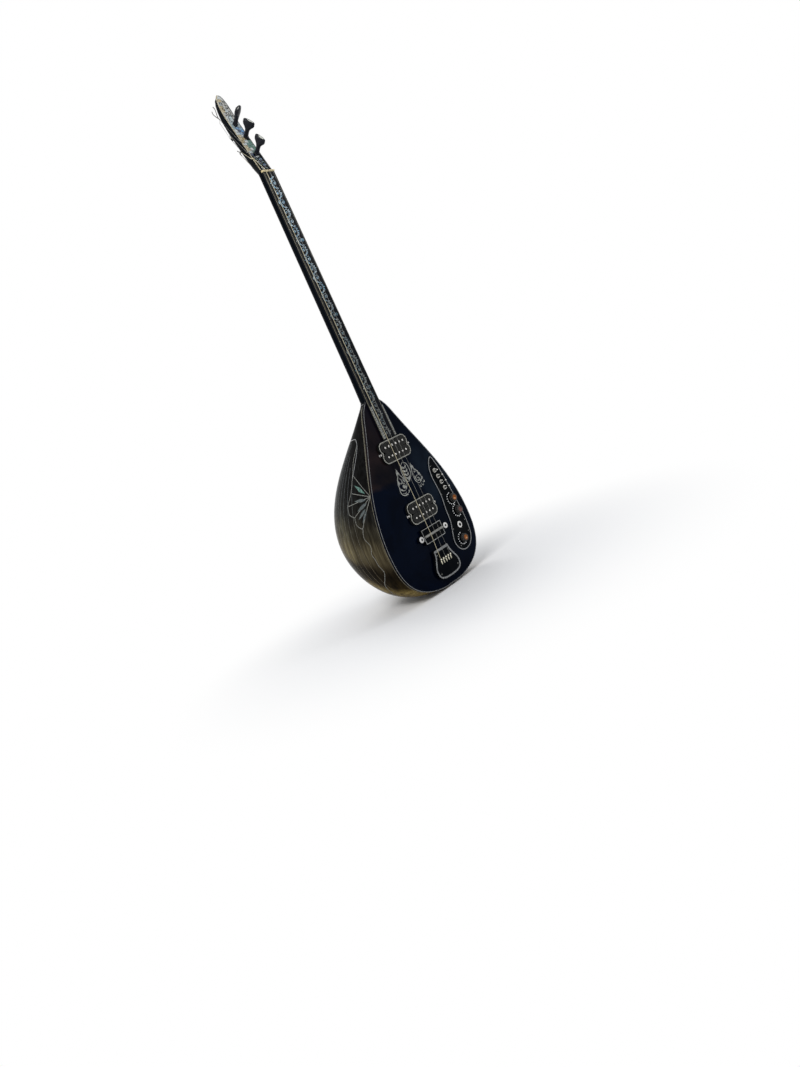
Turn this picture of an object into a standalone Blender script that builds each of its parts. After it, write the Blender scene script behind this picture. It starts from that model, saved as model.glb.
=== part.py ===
"""Electric baglama: a short-necked long lute with a staved bowl, two pickups and front controls.

Frame: the origin is the middle of the tail end of the soundboard, on its outer face.
+Z runs up the neck to the peg head, the soundboard faces -Y, +X is the viewer's right.
Sizes are in metres.
"""
import math

import bmesh
import bpy
from mathutils import Matrix, Vector

GAP = 0.0003                    # clearance between neighbouring solids

# Body outline and bowl
BODY_LENGTH = 0.3986            # tail to where the outline would close under the neck
WIDTH_WAVES = (0.1087, 0.0362, 0.0055, 0.0017, 0.0027)   # sine harmonics of the half width
DEPTH_WAVES = (0.1730, 0.0415, -0.0300)                  # sine harmonics of the bowl depth
BOWL_FULLNESS = 2.4             # superellipse power of the bowl's cross-section
TAIL_BULGE = 0.22               # how far the bowl's back sags below the tail edge
BODY_END = 0.380                # where the bowl meets the neck heel
HEEL_FROM = 0.340               # from here the outline is tucked in to meet the neck
HEEL_TUCK = 0.011
WALL = 0.004                    # stave and lining thickness
BOARD = 0.003                   # soundboard thickness
BOWL_ROWS = 30                  # cross-sections of the bowl from tail to neck
BOWL_STEPS = 22                 # steps round each cross-section

# Neck and fretboard
NUT_Z = 0.821
NUT_THICK = 0.004
NECK_TOP = NUT_Z + NUT_THICK
NECK_HALF_AT_BODY = 0.0164
NECK_HALF_AT_NUT = 0.0138
NECK_DEPTH_AT_BODY = 0.0222
NECK_DEPTH_AT_NUT = 0.0180
NECK_FULLNESS = 2.1
BLEND_POWER = 6.0
FRETBOARD_TOP = 0.0040          # height of the fretboard over the soundboard
FRETBOARD_END = 0.3015
NUT_TOP = 0.0054

# Peg head
HEAD_TILT = math.radians(14.0)
HEAD_START = NECK_TOP + GAP
HEAD_PROFILE = (                # along the head, half width, thickness
    (0.000, 0.0138, 0.0180), (0.012, 0.0136, 0.0182), (0.035, 0.0134, 0.0183),
    (0.060, 0.0130, 0.0184), (0.085, 0.0126, 0.0182), (0.105, 0.0126, 0.0178),
    (0.125, 0.0126, 0.0164), (0.140, 0.0118, 0.0144), (0.150, 0.0102, 0.0124),
    (0.157, 0.0080, 0.0098), (0.161, 0.0053, 0.0078), (0.163, 0.0022, 0.0064),
)
HEAD_FULLNESS = 3.8
CURL_FROM = 0.105               # from here the tip of the head curls forward
CURL_LENGTH = 0.058
CURL_REACH = 0.0055
CURL_POWER = 1.6

# Pegs: place along and across the head, turn of the handle about the peg
PEG_SEATS = ((0.1017, -0.0002, 34.0), (0.0731, 0.0042, -60.0), (0.0371, 0.0042, -75.0))
PEG_LEAN_UP = math.radians(10.0)
PEG_LEAN_SIDE = math.radians(8.0)
PEG_PROFILE = (                 # along the peg, half width, half thickness
    (-0.0300, 0.0026, 0.0026), (-0.0294, 0.0031, 0.0031), (-0.0100, 0.0035, 0.0035),
    (0.0016, 0.0037, 0.0037), (0.0018, 0.0049, 0.0049), (0.0034, 0.0049, 0.0049),
    (0.0040, 0.0040, 0.0040), (0.0120, 0.0037, 0.0037), (0.0165, 0.0043, 0.0041),
    (0.0206, 0.0067, 0.0046), (0.0242, 0.0098, 0.0048), (0.0272, 0.0109, 0.0048),
    (0.0322, 0.0107, 0.0042), (0.0335, 0.0094, 0.0030),
)
PEG_BORE = 0.0041
PEG_TAIL_RADIUS = 0.0035        # widest part of the tail that the string is wound on
WINDING_START = 0.0220          # first turn, behind the head's front face along the peg
WINDING_TURNS = 3
WINDING_PITCH = 0.0015
WINDING_POINTS = 18             # points on each turn

# Strings: half spread at the tail pins, bridge and nut; radius of each string
STRING_X_PIN = (-0.0144, 0.0, 0.0144)
STRING_X_BRIDGE = (-0.0130, 0.0, 0.0130)
STRING_X_NUT = (-0.0080, 0.0, 0.0080)
STRING_RADIUS = (0.00050, 0.00036, 0.00028)
STRING_EDGE = (0.0260, 0.0400, 0.0660)      # where each goes over the left edge of the head
STRING_BACK = (0.0545, 0.0925, 0.1250)      # and round to its back

# Pickups
PICKUP_Z = {"neck": 0.2786, "bridge": 0.1542}
POLE_PITCH = 0.010
POLE_ROW = 0.0185
POLES = 6
COIL_LENGTH = 0.070
COIL_WIDTH = 0.0178
PICKUP_TOP = 0.006              # coil top over the soundboard
COIL_HEIGHT = 0.0105
EAR_SCREW_X = 0.0395

# Bridge
BRIDGE_Z = 0.105
BRIDGE_HALF_LENGTH = 0.029
BRIDGE_HALF_WIDTH = 0.0145
BRIDGE_TOP = 0.006
SADDLE_HALF_LENGTH = 0.026
SADDLE_THICK = 0.004
SADDLE_TOP = 0.010
POST_X = 0.037
POST_Z = 0.1043

# Tailpiece
TAILPIECE_TOP = 0.006
TAILPIECE_RIGHT = (             # right half of the shield, from the top edge to the bottom middle
    (0.0215, 0.0730), (0.0225, 0.0630), (0.0285, 0.0510), (0.0345, 0.0390),
    (0.0350, 0.0285), (0.0300, 0.0200), (0.0180, 0.0160), (0.0000, 0.0150),
)
PIN_PITCH = 0.0072
PINS = 5
PIN_Z = 0.0530
PIN_TOP = 0.0100

# Control plate, knobs, switches and jack, as X, Z on the soundboard
PLATE_TOP = 0.0018
PLATE_EDGE = (
    (0.0810, 0.2340), (0.0880, 0.2170), (0.0935, 0.1900), (0.0985, 0.1500), (0.1020, 0.1100),
    (0.1015, 0.0800), (0.0970, 0.0600), (0.0840, 0.0460), (0.0660, 0.0430), (0.0530, 0.0510),
    (0.0485, 0.0660), (0.0540, 0.0840), (0.0610, 0.1050), (0.0630, 0.1300), (0.0665, 0.1520),
    (0.0665, 0.1750), (0.0645, 0.2000), (0.0690, 0.2200),
)
KNOB_SEATS = {"volume": (0.0890, 0.1430), "tone": (0.0903, 0.1165), "blend": (0.0718, 0.0632)}
SWITCH_FIRST = (0.0752, 0.2076)
SWITCH_LAST = (0.0826, 0.1687)
SWITCHES = 4
SWITCH_LEAN = math.radians(12.0)
SWITCH_REST_SIDE = (-1, 1, 1, 1)
JACK_SEAT = (0.0783, 0.0898)

# Leads behind the soundboard: places from a pickup to the volume control and on to the jack
LEAD_RADIUS = 0.0011
NECK_LEAD = (
    (0.0280, 0.0102, 0.2660), (0.0280, 0.0140, 0.2660), (0.0330, 0.0205, 0.2540),
    (0.0420, 0.0215, 0.2370), (0.0510, 0.0215, 0.2230), (0.0590, 0.0190, 0.2020),
    (0.0620, 0.0180, 0.1780), (0.0680, 0.0190, 0.1620), (0.0780, 0.0205, 0.1530),
    (0.0850, 0.0180, 0.1485), (0.0850, 0.0137, 0.1485),
)
BRIDGE_LEAD = (
    (0.0280, 0.0102, 0.1430), (0.0280, 0.0140, 0.1430), (0.0370, 0.0185, 0.1420),
    (0.0500, 0.0200, 0.1470), (0.0610, 0.0195, 0.1560), (0.0690, 0.0192, 0.1606),
)
JACK_LEAD = (
    (0.0930, 0.0137, 0.1390), (0.0930, 0.0180, 0.1390), (0.0905, 0.0260, 0.1290),
    (0.0860, 0.0300, 0.1140), (0.0810, 0.0315, 0.0990), (0.0783, 0.0295, 0.0898),
    (0.0783, 0.0250, 0.0898),
)

BLACK_WOOD = (0.012, 0.012, 0.014, 1.0)
BARE_WOOD = (0.52, 0.36, 0.20, 1.0)
BONE = (0.80, 0.74, 0.58, 1.0)
STEEL = (0.62, 0.62, 0.63, 1.0)
CHROME = (0.80, 0.80, 0.82, 1.0)
PLASTIC = (0.02, 0.02, 0.022, 1.0)
CABLE = (0.10, 0.10, 0.11, 1.0)


def clear_scene():
    for item in list(bpy.data.objects):
        bpy.data.objects.remove(item, do_unlink=True)


def material(name, colour, roughness, metallic=0.0):
    found = bpy.data.materials.get(name)
    if found:
        return found
    made = bpy.data.materials.new(name)
    made.use_nodes = True
    shader = made.node_tree.nodes["Principled BSDF"]
    shader.inputs["Base Color"].default_value = colour
    shader.inputs["Roughness"].default_value = roughness
    shader.inputs["Metallic"].default_value = metallic
    return made


def lacquer():
    return material("black_lacquer", BLACK_WOOD, 0.08)


def bare_wood():
    return material("bare_wood", BARE_WOOD, 0.6)


def bone():
    return material("bone", BONE, 0.35)


def steel():
    return material("nickel_steel", STEEL, 0.3, 1.0)


def chrome():
    return material("chrome", CHROME, 0.12, 1.0)


def plastic():
    return material("black_plastic", PLASTIC, 0.35)


def cable_jacket():
    return material("cable_jacket", CABLE, 0.5)


def add_object(name, mesh_data, look, smooth_angle=35.0):
    mesh = bpy.data.meshes.new(name)
    bmesh.ops.recalc_face_normals(mesh_data, faces=mesh_data.faces)
    mesh_data.to_mesh(mesh)
    mesh_data.free()
    mesh.shade_smooth()
    mesh.set_sharp_from_angle(angle=math.radians(smooth_angle))
    mesh.materials.append(look)
    made = bpy.data.objects.new(name, mesh)
    bpy.context.scene.collection.objects.link(made)
    return made


def loft(name, rings, look, smooth_angle=35.0):
    """A closed solid through rings of points, with a flat face on each end ring."""
    data = bmesh.new()
    rows = [[data.verts.new(point) for point in ring] for ring in rings]
    for low, high in zip(rows[:-1], rows[1:]):
        for i in range(len(low)):
            j = (i + 1) % len(low)
            data.faces.new((low[i], low[j], high[j], high[i]))
    data.faces.new(rows[0])
    data.faces.new(list(reversed(rows[-1])))
    return add_object(name, data, look, smooth_angle)


def block(name, low, high, look):
    """A box from its lowest to its highest corner."""
    rings = []
    for z in (low[2], high[2]):
        rings.append([(low[0], low[1], z), (high[0], low[1], z),
                      (high[0], high[1], z), (low[0], high[1], z)])
    return loft(name, rings, look)


def axis_frame(axis, across=(1.0, 0.0, 0.0)):
    """Two unit vectors square to an axis, the first as near as can be to the wanted one."""
    axis = Vector(axis).normalized()
    first = Vector(across) - axis * axis.dot(Vector(across))
    first.normalize()
    return first, axis.cross(first)


def turned(name, profile, look, origin, axis, sides=16, across=(1.0, 0.0, 0.0)):
    """A turned or flattened bar: rings of half width and half thickness along an axis."""
    first, second = axis_frame(axis, across)
    axis = Vector(axis).normalized()
    origin = Vector(origin)
    rings = []
    for along, half_width, half_thick in profile:
        ring = []
        for i in range(sides):
            angle = 2 * math.pi * i / sides
            ring.append(origin + axis * along + first * half_width * math.cos(angle)
                        + second * half_thick * math.sin(angle))
        rings.append(ring)
    return loft(name, rings, look)


def rod(name, radius, start, end, look, sides=12):
    """A plain round bar between two points."""
    start = Vector(start)
    axis = Vector(end) - start
    across = (1.0, 0.0, 0.0) if abs(axis.normalized().x) < 0.9 else (0.0, 0.0, 1.0)
    profile = ((0.0, radius, radius), (axis.length, radius, radius))
    return turned(name, profile, look, start, axis, sides, across)


def plate(name, outline, front, back, look):
    """A plate with an outline of X, Z points, between two Y levels."""
    rings = [[(x, y, z) for x, z in outline] for y in (front, back)]
    return loft(name, rings, look)


def hide_tool(tool):
    tool.hide_render = True
    tool.display_type = "WIRE"


def combine(target, tool, operation):
    """Cut, join or trim a solid with a helper solid, which stays out of the model."""
    step = target.modifiers.new(operation.lower(), "BOOLEAN")
    step.operation = operation
    step.solver = "EXACT"
    step.object = tool
    hide_tool(tool)
    return target


def gather(name, tools):
    """One helper holding the surfaces of several that don't touch each other."""
    data = bmesh.new()
    for tool in tools:
        mesh = tool.data
        mesh.transform(tool.matrix_world)
        data.from_mesh(mesh)
        bpy.data.objects.remove(tool, do_unlink=True)
    helper = add_object(name, data, bare_wood())
    hide_tool(helper)
    return helper


def smooth_loop(points, steps):
    """A closed smooth curve through the points, with a few steps on each span."""
    count = len(points)
    loop = []
    for i in range(count):
        p0, p1, p2, p3 = (Vector(points[(i + k) % count]) for k in (-1, 0, 1, 2))
        for step in range(steps):
            t = step / steps
            loop.append(0.5 * ((2 * p1) + (p2 - p0) * t + (2 * p0 - 5 * p1 + 4 * p2 - p3) * t * t
                               + (3 * p1 - p0 - 3 * p2 + p3) * t ** 3))
    return [tuple(p) for p in loop]


def open_curve(points, steps):
    """A smooth open curve through the points, with a few steps on each span."""
    path = [Vector(points[0])]
    for i in range(len(points) - 1):
        p1 = Vector(points[i])
        p2 = Vector(points[i + 1])
        p0 = Vector(points[max(i - 1, 0)])
        p3 = Vector(points[min(i + 2, len(points) - 1)])
        for step in range(1, steps + 1):
            t = step / steps
            path.append(0.5 * ((2 * p1) + (p2 - p0) * t + (2 * p0 - 5 * p1 + 4 * p2 - p3) * t * t
                               + (3 * p1 - p0 - 3 * p2 + p3) * t ** 3))
    return path


def waves(z, harmonics):
    """A sum of sine harmonics over the body length; nothing beyond its end."""
    if z >= BODY_LENGTH:
        return 0.0
    angle = math.acos(1 - 2 * z / BODY_LENGTH)
    return max(sum(a * math.sin((k + 1) * angle) for k, a in enumerate(harmonics)), 0.0)


def neck_share(z):
    """0 at the middle of the body, 1 where the neck starts."""
    return min(max((z - 0.20) / (BODY_END - 0.20), 0.0), 1.0)


def along_neck(z):
    return (z - BODY_END) / (NUT_Z - BODY_END)


def blend(first, second):
    return (first ** BLEND_POWER + second ** BLEND_POWER) ** (1 / BLEND_POWER)


def neck_half(z):
    return NECK_HALF_AT_BODY + (NECK_HALF_AT_NUT - NECK_HALF_AT_BODY) * along_neck(z)


def half_width(z):
    """Half width of the body or neck at its flat front face."""
    if z > BODY_END:
        return neck_half(z)
    tuck = HEEL_TUCK * max((z - HEEL_FROM) / (BODY_END - HEEL_FROM), 0.0) ** 4
    return blend(waves(z, WIDTH_WAVES) - tuck, neck_half(z) * neck_share(z))


def depth(z):
    """Depth of the bowl or neck behind its flat front face."""
    neck = NECK_DEPTH_AT_BODY + (NECK_DEPTH_AT_NUT - NECK_DEPTH_AT_BODY) * along_neck(z)
    if z > BODY_END:
        return neck
    return blend(waves(z, DEPTH_WAVES), neck * neck_share(z))


def fullness(z):
    share = min(max((z - BODY_END) / 0.05, 0.0), 1.0)
    return BOWL_FULLNESS + (NECK_FULLNESS - BOWL_FULLNESS) * share


def half_oval(width, deep, power, steps):
    """Points x, y of a half oval from -X round the back to +X."""
    points = []
    for i in range(steps + 1):
        angle = math.pi * i / steps
        c = math.cos(angle)
        s = max(math.sin(angle), 0.0)
        x = -width * math.copysign(abs(c) ** (2 / power), c)
        points.append((x, deep * s ** (2 / power)))
    return points


def bowl_ring(z, inset, rim, steps):
    """One cross-section of the bowl, its back drawn towards the tail."""
    wide = max(half_width(z) - inset, 0.0)
    deep = max(depth(z) - inset - rim, 0.0)
    ring = []
    for x, y in half_oval(wide, deep, fullness(z), steps):
        sag = TAIL_BULGE * y * (1 - z / BODY_LENGTH) ** 2
        ring.append(Vector((x, rim + y, z - sag)))
    return ring


def body_station(i, start, end):
    """Heights crowded at the tail, where the outline turns fastest."""
    share = 0.5 * (1 - math.cos(math.pi * i / BOWL_ROWS))
    return start + (end - start) * share


def make_bowl():
    """The staved bowl, open at the front rim and at the neck end."""
    data = bmesh.new()
    rim = BOARD + GAP
    skins = []
    for inset in (0.0, WALL):
        rows = []
        for i in range(1, BOWL_ROWS + 1):
            ring = bowl_ring(body_station(i, 0.0, BODY_END), inset, rim, BOWL_STEPS)
            if inset:
                for point in ring:
                    point.z += inset * (1 - i / BOWL_ROWS)
            rows.append([data.verts.new(point) for point in ring])
        pole = data.verts.new((0.0, rim, inset))
        skins.append((pole, rows))
    for pole, rows in skins:
        for j in range(BOWL_STEPS):
            data.faces.new((pole, rows[0][j], rows[0][j + 1]))
            for low, high in zip(rows[:-1], rows[1:]):
                data.faces.new((low[j], low[j + 1], high[j + 1], high[j]))
    (outer_pole, outer), (inner_pole, inner) = skins
    for j in range(BOWL_STEPS):
        data.faces.new((outer[-1][j], outer[-1][j + 1], inner[-1][j + 1], inner[-1][j]))
    for edge in (0, BOWL_STEPS):
        data.faces.new((outer_pole, outer[0][edge], inner[0][edge], inner_pole))
        for i in range(BOWL_ROWS - 1):
            data.faces.new((outer[i][edge], outer[i + 1][edge], inner[i + 1][edge], inner[i][edge]))
    return add_object("bowl", data, lacquer(), 40.0)


def make_cavity():
    """The space inside the bowl, a helper that the glued-in blocks are trimmed to."""
    inset = WALL + GAP
    rings = []
    for i in range(3, BOWL_ROWS + 1):
        ring = bowl_ring(body_station(i, 0.0, BODY_END), inset, BOARD + GAP, BOWL_STEPS)
        rings.append([point + Vector((0, 0, inset * (1 - i / BOWL_ROWS))) for point in ring])
    cavity = loft("cavity_helper", rings, bare_wood())
    hide_tool(cavity)
    return cavity


def stadium(centre_x, centre_z, length, width, steps=8):
    """Outline of a bar with round ends, lying along X."""
    radius = width / 2
    reach = length / 2 - radius
    points = []
    for side, start in ((1, -90), (-1, 90)):
        for i in range(steps + 1):
            angle = math.radians(start + 180 * i / steps)
            points.append((centre_x + side * reach + radius * math.cos(angle),
                           centre_z + radius * math.sin(angle)))
    return points


def switch_seat(i):
    share = i / (SWITCHES - 1)
    return tuple(a + (b - a) * share for a, b in zip(SWITCH_FIRST, SWITCH_LAST))


def drill_bit(x, z, radius, front=-0.02, back=0.05, sides=16):
    return rod("drill", radius, (x, front, z), (x, back, z), bare_wood(), sides)


def drill(target, x, z, radius, front=-0.02, back=0.05, sides=16):
    return combine(target, drill_bit(x, z, radius, front, back, sides), "DIFFERENCE")


def make_soundboard():
    right = [(half_width(z), z) for z in (body_station(i, 0.0, BODY_END)
                                          for i in range(1, BOWL_ROWS + 1))]
    outline = [(0.0, 0.0)] + right + [(-x, z) for x, z in reversed(right)]
    board = plate("soundboard", outline, 0.0, BOARD, lacquer())
    for z in PICKUP_Z.values():
        for side in (-1, 1):
            window = plate("pickup_window", stadium(0, z + side * POLE_ROW / 2, COIL_LENGTH + 0.001,
                                                    COIL_WIDTH + 0.001), -0.01, 0.02, bare_wood())
            combine(board, window, "DIFFERENCE")
        bar = block("pickup_window_middle", (-0.025, -0.01, z - 0.003), (0.025, 0.02, z + 0.003),
                    bare_wood())
        combine(board, bar, "DIFFERENCE")
        for side in (-1, 1):
            drill(board, side * EAR_SCREW_X, z, 0.0019, sides=10)
    for side in (-1, 1):
        drill(board, side * POST_X, POST_Z, 0.0038)
    for x, z in KNOB_SEATS.values():
        drill(board, x, z, 0.0039)
    for i in range(SWITCHES):
        drill(board, *switch_seat(i), 0.0034, sides=12)
    drill(board, *JACK_SEAT, 0.0050)
    return board


def make_inner_blocks(cavity):
    """Blocks and bars glued inside the bowl and under the soundboard."""
    under = BOARD + 2 * GAP
    blocks = {
        "neck_block": ((-0.06, under, 0.336), (0.06, 0.10, BODY_END - GAP)),
        "tail_block": ((-0.045, under, 0.001), (0.045, 0.055, 0.030)),
        "soundboard_brace": ((-0.11, under, 0.226), (0.056, 0.018, 0.234)),
        "bridge_block": ((-0.052, under, 0.096), (0.052, 0.019, 0.1126)),
    }
    made = {}
    for name, (low, high) in blocks.items():
        made[name] = combine(block(name, low, high, bare_wood()), cavity, "INTERSECT")
    for side in (-1, 1):
        drill(made["bridge_block"], side * POST_X, POST_Z, 0.0034)
    return made


def neck_ring(z):
    return [Vector((x, y, z)) for x, y in half_oval(half_width(z), depth(z), fullness(z), 16)]


def make_neck():
    stations = (BODY_END + GAP, 0.392, 0.404, 0.417, 0.430, 0.560, 0.700, NECK_TOP)
    return loft("neck", [neck_ring(z) for z in stations], lacquer())


def make_fretboard():
    rings = []
    for z in (FRETBOARD_END, BODY_END, 0.60, NUT_Z - GAP):
        wide = neck_half(z)
        rings.append([(-wide, -GAP, z), (-wide, -FRETBOARD_TOP + 0.0006, z),
                      (-wide + 0.0006, -FRETBOARD_TOP, z), (wide - 0.0006, -FRETBOARD_TOP, z),
                      (wide, -FRETBOARD_TOP + 0.0006, z), (wide, -GAP, z)])
    return loft("fretboard", rings, lacquer())


def make_nut():
    """The bone nut, with a rounded top over which the strings bend."""
    wide = NECK_HALF_AT_NUT
    rings = []
    for x in (-wide, wide):
        ring = [(x, -GAP, NUT_Z), (x, -NUT_TOP + 0.0014, NUT_Z)]
        ring += [(x, -NUT_TOP, NUT_Z + 0.0012), (x, -NUT_TOP, NUT_Z + 0.0026)]
        ring += [(x, -NUT_TOP + 0.0020, NECK_TOP - 0.0002), (x, -GAP, NECK_TOP - 0.0002)]
        rings.append(ring)
    return loft("nut", rings, bone())


def head_half(along):
    """Half width of the head at a place along it."""
    for (low, wide, _), (high, wider, _) in zip(HEAD_PROFILE[:-1], HEAD_PROFILE[1:]):
        if along <= high:
            return wide + (wider - wide) * (along - low) / (high - low)
    return HEAD_PROFILE[-1][1]


def head_point(along, across, deep, tilt=HEAD_TILT):
    """A point by its place along, across and behind the front face of the head."""
    base = Vector((0.0, along * math.sin(HEAD_TILT), HEAD_START + along * math.cos(HEAD_TILT)))
    deep -= CURL_REACH * (max(along - CURL_FROM, 0.0) / CURL_LENGTH) ** CURL_POWER
    return base + Vector((across, deep * math.cos(tilt), -deep * math.sin(tilt)))


def make_head():
    rings = []
    for along, wide, thick in HEAD_PROFILE:
        settle = min(along / 0.030, 1.0)
        power = NECK_FULLNESS + (HEAD_FULLNESS - NECK_FULLNESS) * settle
        rings.append([head_point(along, x, y, HEAD_TILT * settle)
                      for x, y in half_oval(wide, thick, power, 16)])
    head = loft("peghead", rings, lacquer())
    for along, across, _turn in PEG_SEATS:
        base = head_point(along, across, 0.0)
        axis = peg_axis()
        tool = rod("peg_reamer", PEG_BORE, base - axis * 0.04, base + axis * 0.01, bare_wood(), 16)
        combine(head, tool, "DIFFERENCE")
    return head


def peg_axis():
    """The pegs stand off the face, leaning to the tip of the head and to the left."""
    out = Vector((0.0, -math.cos(HEAD_TILT), math.sin(HEAD_TILT)))
    up = Vector((0.0, math.sin(HEAD_TILT), math.cos(HEAD_TILT)))
    side = Vector((-1.0, 0.0, 0.0))
    return (out + up * math.tan(PEG_LEAN_UP) + side * math.tan(PEG_LEAN_SIDE)).normalized()


def tube(name, points, radius, look, resolution=1):
    """A round string or wire through the points, closed at both ends."""
    curve = bpy.data.curves.new(name, "CURVE")
    curve.dimensions = "3D"
    curve.bevel_depth = radius
    curve.bevel_resolution = resolution
    curve.use_fill_caps = True
    spline = curve.splines.new("POLY")
    spline.points.add(len(points) - 1)
    for slot, point in zip(spline.points, points):
        slot.co = (*point, 1.0)
    curve.materials.append(look)
    made = bpy.data.objects.new(name, curve)
    bpy.context.scene.collection.objects.link(made)
    return made


def solid_tube(name, points, radius, look):
    """A round tube as a mesh, so that others can be joined to it."""
    curve = tube("route", points, radius, look, 2)
    bpy.context.view_layer.update()
    mesh = bpy.data.meshes.new_from_object(curve.evaluated_get(bpy.context.evaluated_depsgraph_get()))
    bpy.data.objects.remove(curve, do_unlink=True)
    data = bmesh.new()
    data.from_mesh(mesh)
    bmesh.ops.remove_doubles(data, verts=data.verts, dist=1e-7)
    bpy.data.meshes.remove(mesh)
    return add_object(name, data, look)


def tail_frame(seat):
    """Start of a peg's winding behind the head, and two directions square to the peg."""
    along, across, _turn = PEG_SEATS[seat]
    axis = peg_axis()
    start = head_point(along, across, 0.0) - axis * WINDING_START
    first, second = axis_frame(axis, (-1.0, 0.0, 0.0))
    return start, axis, first, second


def wound_radius(seat):
    """Radius of the string on a peg; the first string goes to the peg nearest the nut."""
    return STRING_RADIUS[len(PEG_SEATS) - 1 - seat]


def winding_point(seat, angle, shift):
    start, axis, first, second = tail_frame(seat)
    radius = PEG_TAIL_RADIUS + GAP + wound_radius(seat)
    return (start + axis * shift + first * radius * math.cos(angle)
            + second * radius * math.sin(angle))


def least_gap(points, radius, apart):
    """Least clear distance between points of a tube that are at least so many steps apart."""
    least = 1.0
    for i in range(len(points)):
        for j in range(i + apart, len(points)):
            least = min(least, (points[i] - points[j]).length - 2 * radius)
    return least


def make_pegs():
    axis = peg_axis()
    for i, (along, across, turn) in enumerate(PEG_SEATS):
        first, second = axis_frame(axis, (1.0, 0.0, 0.0))
        angle = math.radians(turn)
        wide = first * math.cos(angle) + second * math.sin(angle)
        peg = turned(f"peg_{i + 1}", PEG_PROFILE, lacquer(), head_point(along, across, 0.0),
                     axis, 16, wide)
        move_origin(peg, head_point(along, across, 0.0))


def move_origin(item, point):
    """Put an object's origin on a joint axis without moving its surface."""
    item.data.transform(Matrix.Translation(-Vector(point)))
    item.location = point


def make_windings():
    """Turns of string round each peg's tail, wound away from the head."""
    for seat in range(len(PEG_SEATS)):
        radius = wound_radius(seat)
        points = []
        for step in range(WINDING_TURNS * WINDING_POINTS + 1):
            turns = step / WINDING_POINTS
            points.append(winding_point(seat, 2 * math.pi * turns, -WINDING_PITCH * turns))
        name = f"peg_winding_{seat + 1}"
        tube(name, points, radius, steel())
        gap = least_gap(points, radius, WINDING_POINTS // 2)
        print(name, "least gap to itself", round(gap * 1000, 3), "mm")


def string_route(i):
    """A string's bends, from its pin over the bridge and nut and round the head to its peg."""
    radius = STRING_RADIUS[i]
    lift = radius + GAP
    seat = 2 - i
    edge = STRING_EDGE[i]
    back = STRING_BACK[i]
    start, axis, first, _second = tail_frame(seat)
    return [
        (STRING_X_PIN[i], -PIN_TOP + 0.0016, PIN_Z + 0.0017 + lift),
        (STRING_X_BRIDGE[i], -SADDLE_TOP - lift, BRIDGE_Z),
        (STRING_X_NUT[i], -NUT_TOP - lift, NUT_Z + 0.0014),
        (STRING_X_NUT[i] - 0.0004, -NUT_TOP - lift, NUT_Z + 0.0025),
        head_point(edge, -head_half(edge) + 0.0010, -lift - 0.0010),
        head_point(edge + 0.0010, -head_half(edge) - lift - 0.0008, 0.0006),
        head_point(back - 0.0010, -head_half(back) - lift - 0.0008, 0.0120),
        head_point(back + 0.0010, -head_half(back) + 0.0020, 0.0190 + lift),
        start + first * 0.0090 + axis * 0.0002,
        winding_point(seat, 0.0, 0.0) + first * (GAP + 2 * radius),
    ]


def make_strings():
    for i in range(len(STRING_X_PIN)):
        tube(f"string_{i + 1}", string_route(i), STRING_RADIUS[i], steel())


def pole_x(k):
    return (k - (POLES - 1) / 2) * POLE_PITCH


def make_pickup(place):
    """A twin-coil pickup: two coils, bar magnet, screws in a steel keeper, plate with ears."""
    z = PICKUP_Z[place]
    top = -PICKUP_TOP
    bottom = top + COIL_HEIGHT
    coils = {}
    for kind, side in (("screw", 1), ("slug", -1)):
        outline = stadium(0, z + side * POLE_ROW / 2, COIL_LENGTH, COIL_WIDTH)
        coils[kind] = plate(f"{place}_{kind}_coil", outline, top, bottom, plastic())
    upper = z + POLE_ROW / 2
    lower = z - POLE_ROW / 2
    under = bottom + GAP
    keeper = block(f"{place}_pole_screws", (-0.029, under, upper - 0.0032),
                   (0.029, under + 0.0030, upper + 0.0032), steel())
    screws = []
    slugs = []
    bores = []
    for k in range(POLES):
        profile = ((0.0, 0.0015, 0.0015), (0.0170, 0.0015, 0.0015), (0.0172, 0.0024, 0.0024),
                   (0.0182, 0.0024, 0.0024))
        screws.append(turned("pole_screw", profile, steel(), (pole_x(k), top + 0.0169, upper),
                             (0, -1, 0), 8))
        slugs.append(rod("pole_slug", 0.0024, (pole_x(k), top - 0.0004, lower),
                         (pole_x(k), top + 0.002, lower), steel(), 8))
        bores.append(drill_bit(pole_x(k), upper, 0.0019, sides=8))
    combine(keeper, gather("pole_screws", screws), "UNION")
    combine(coils["slug"], gather("pole_slugs", slugs), "UNION")
    pole_bores = gather("pole_bores", bores)
    combine(coils["screw"], pole_bores, "DIFFERENCE")
    block(f"{place}_magnet", (-0.030, under, lower + 0.0010), (0.030, under + 0.0030, upper - 0.0036),
          steel())
    base_top = under + 0.0030 + GAP
    base = plate(f"{place}_baseplate", stadium(0, z, 0.088, 0.010), base_top, base_top + 0.0012, steel())
    wide = block("baseplate_middle", (-0.0345, base_top, z - 0.0185), (0.0345, base_top + 0.0012, z + 0.0185),
                 steel())
    combine(base, wide, "UNION")
    combine(base, pole_bores, "DIFFERENCE")
    for name, side in (("left", -1), ("right", 1)):
        drill(base, side * EAR_SCREW_X, z, 0.0019, sides=10)
        profile = ((0.0, 0.0013, 0.0013), (0.0200, 0.0015, 0.0015), (0.0202, 0.0030, 0.0030),
                   (0.0212, 0.0028, 0.0028), (0.0218, 0.0016, 0.0016))
        turned(f"{place}_height_screw_{name}", profile, chrome(),
               (side * EAR_SCREW_X, 0.0199, z), (0, -1, 0), 12)


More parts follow.
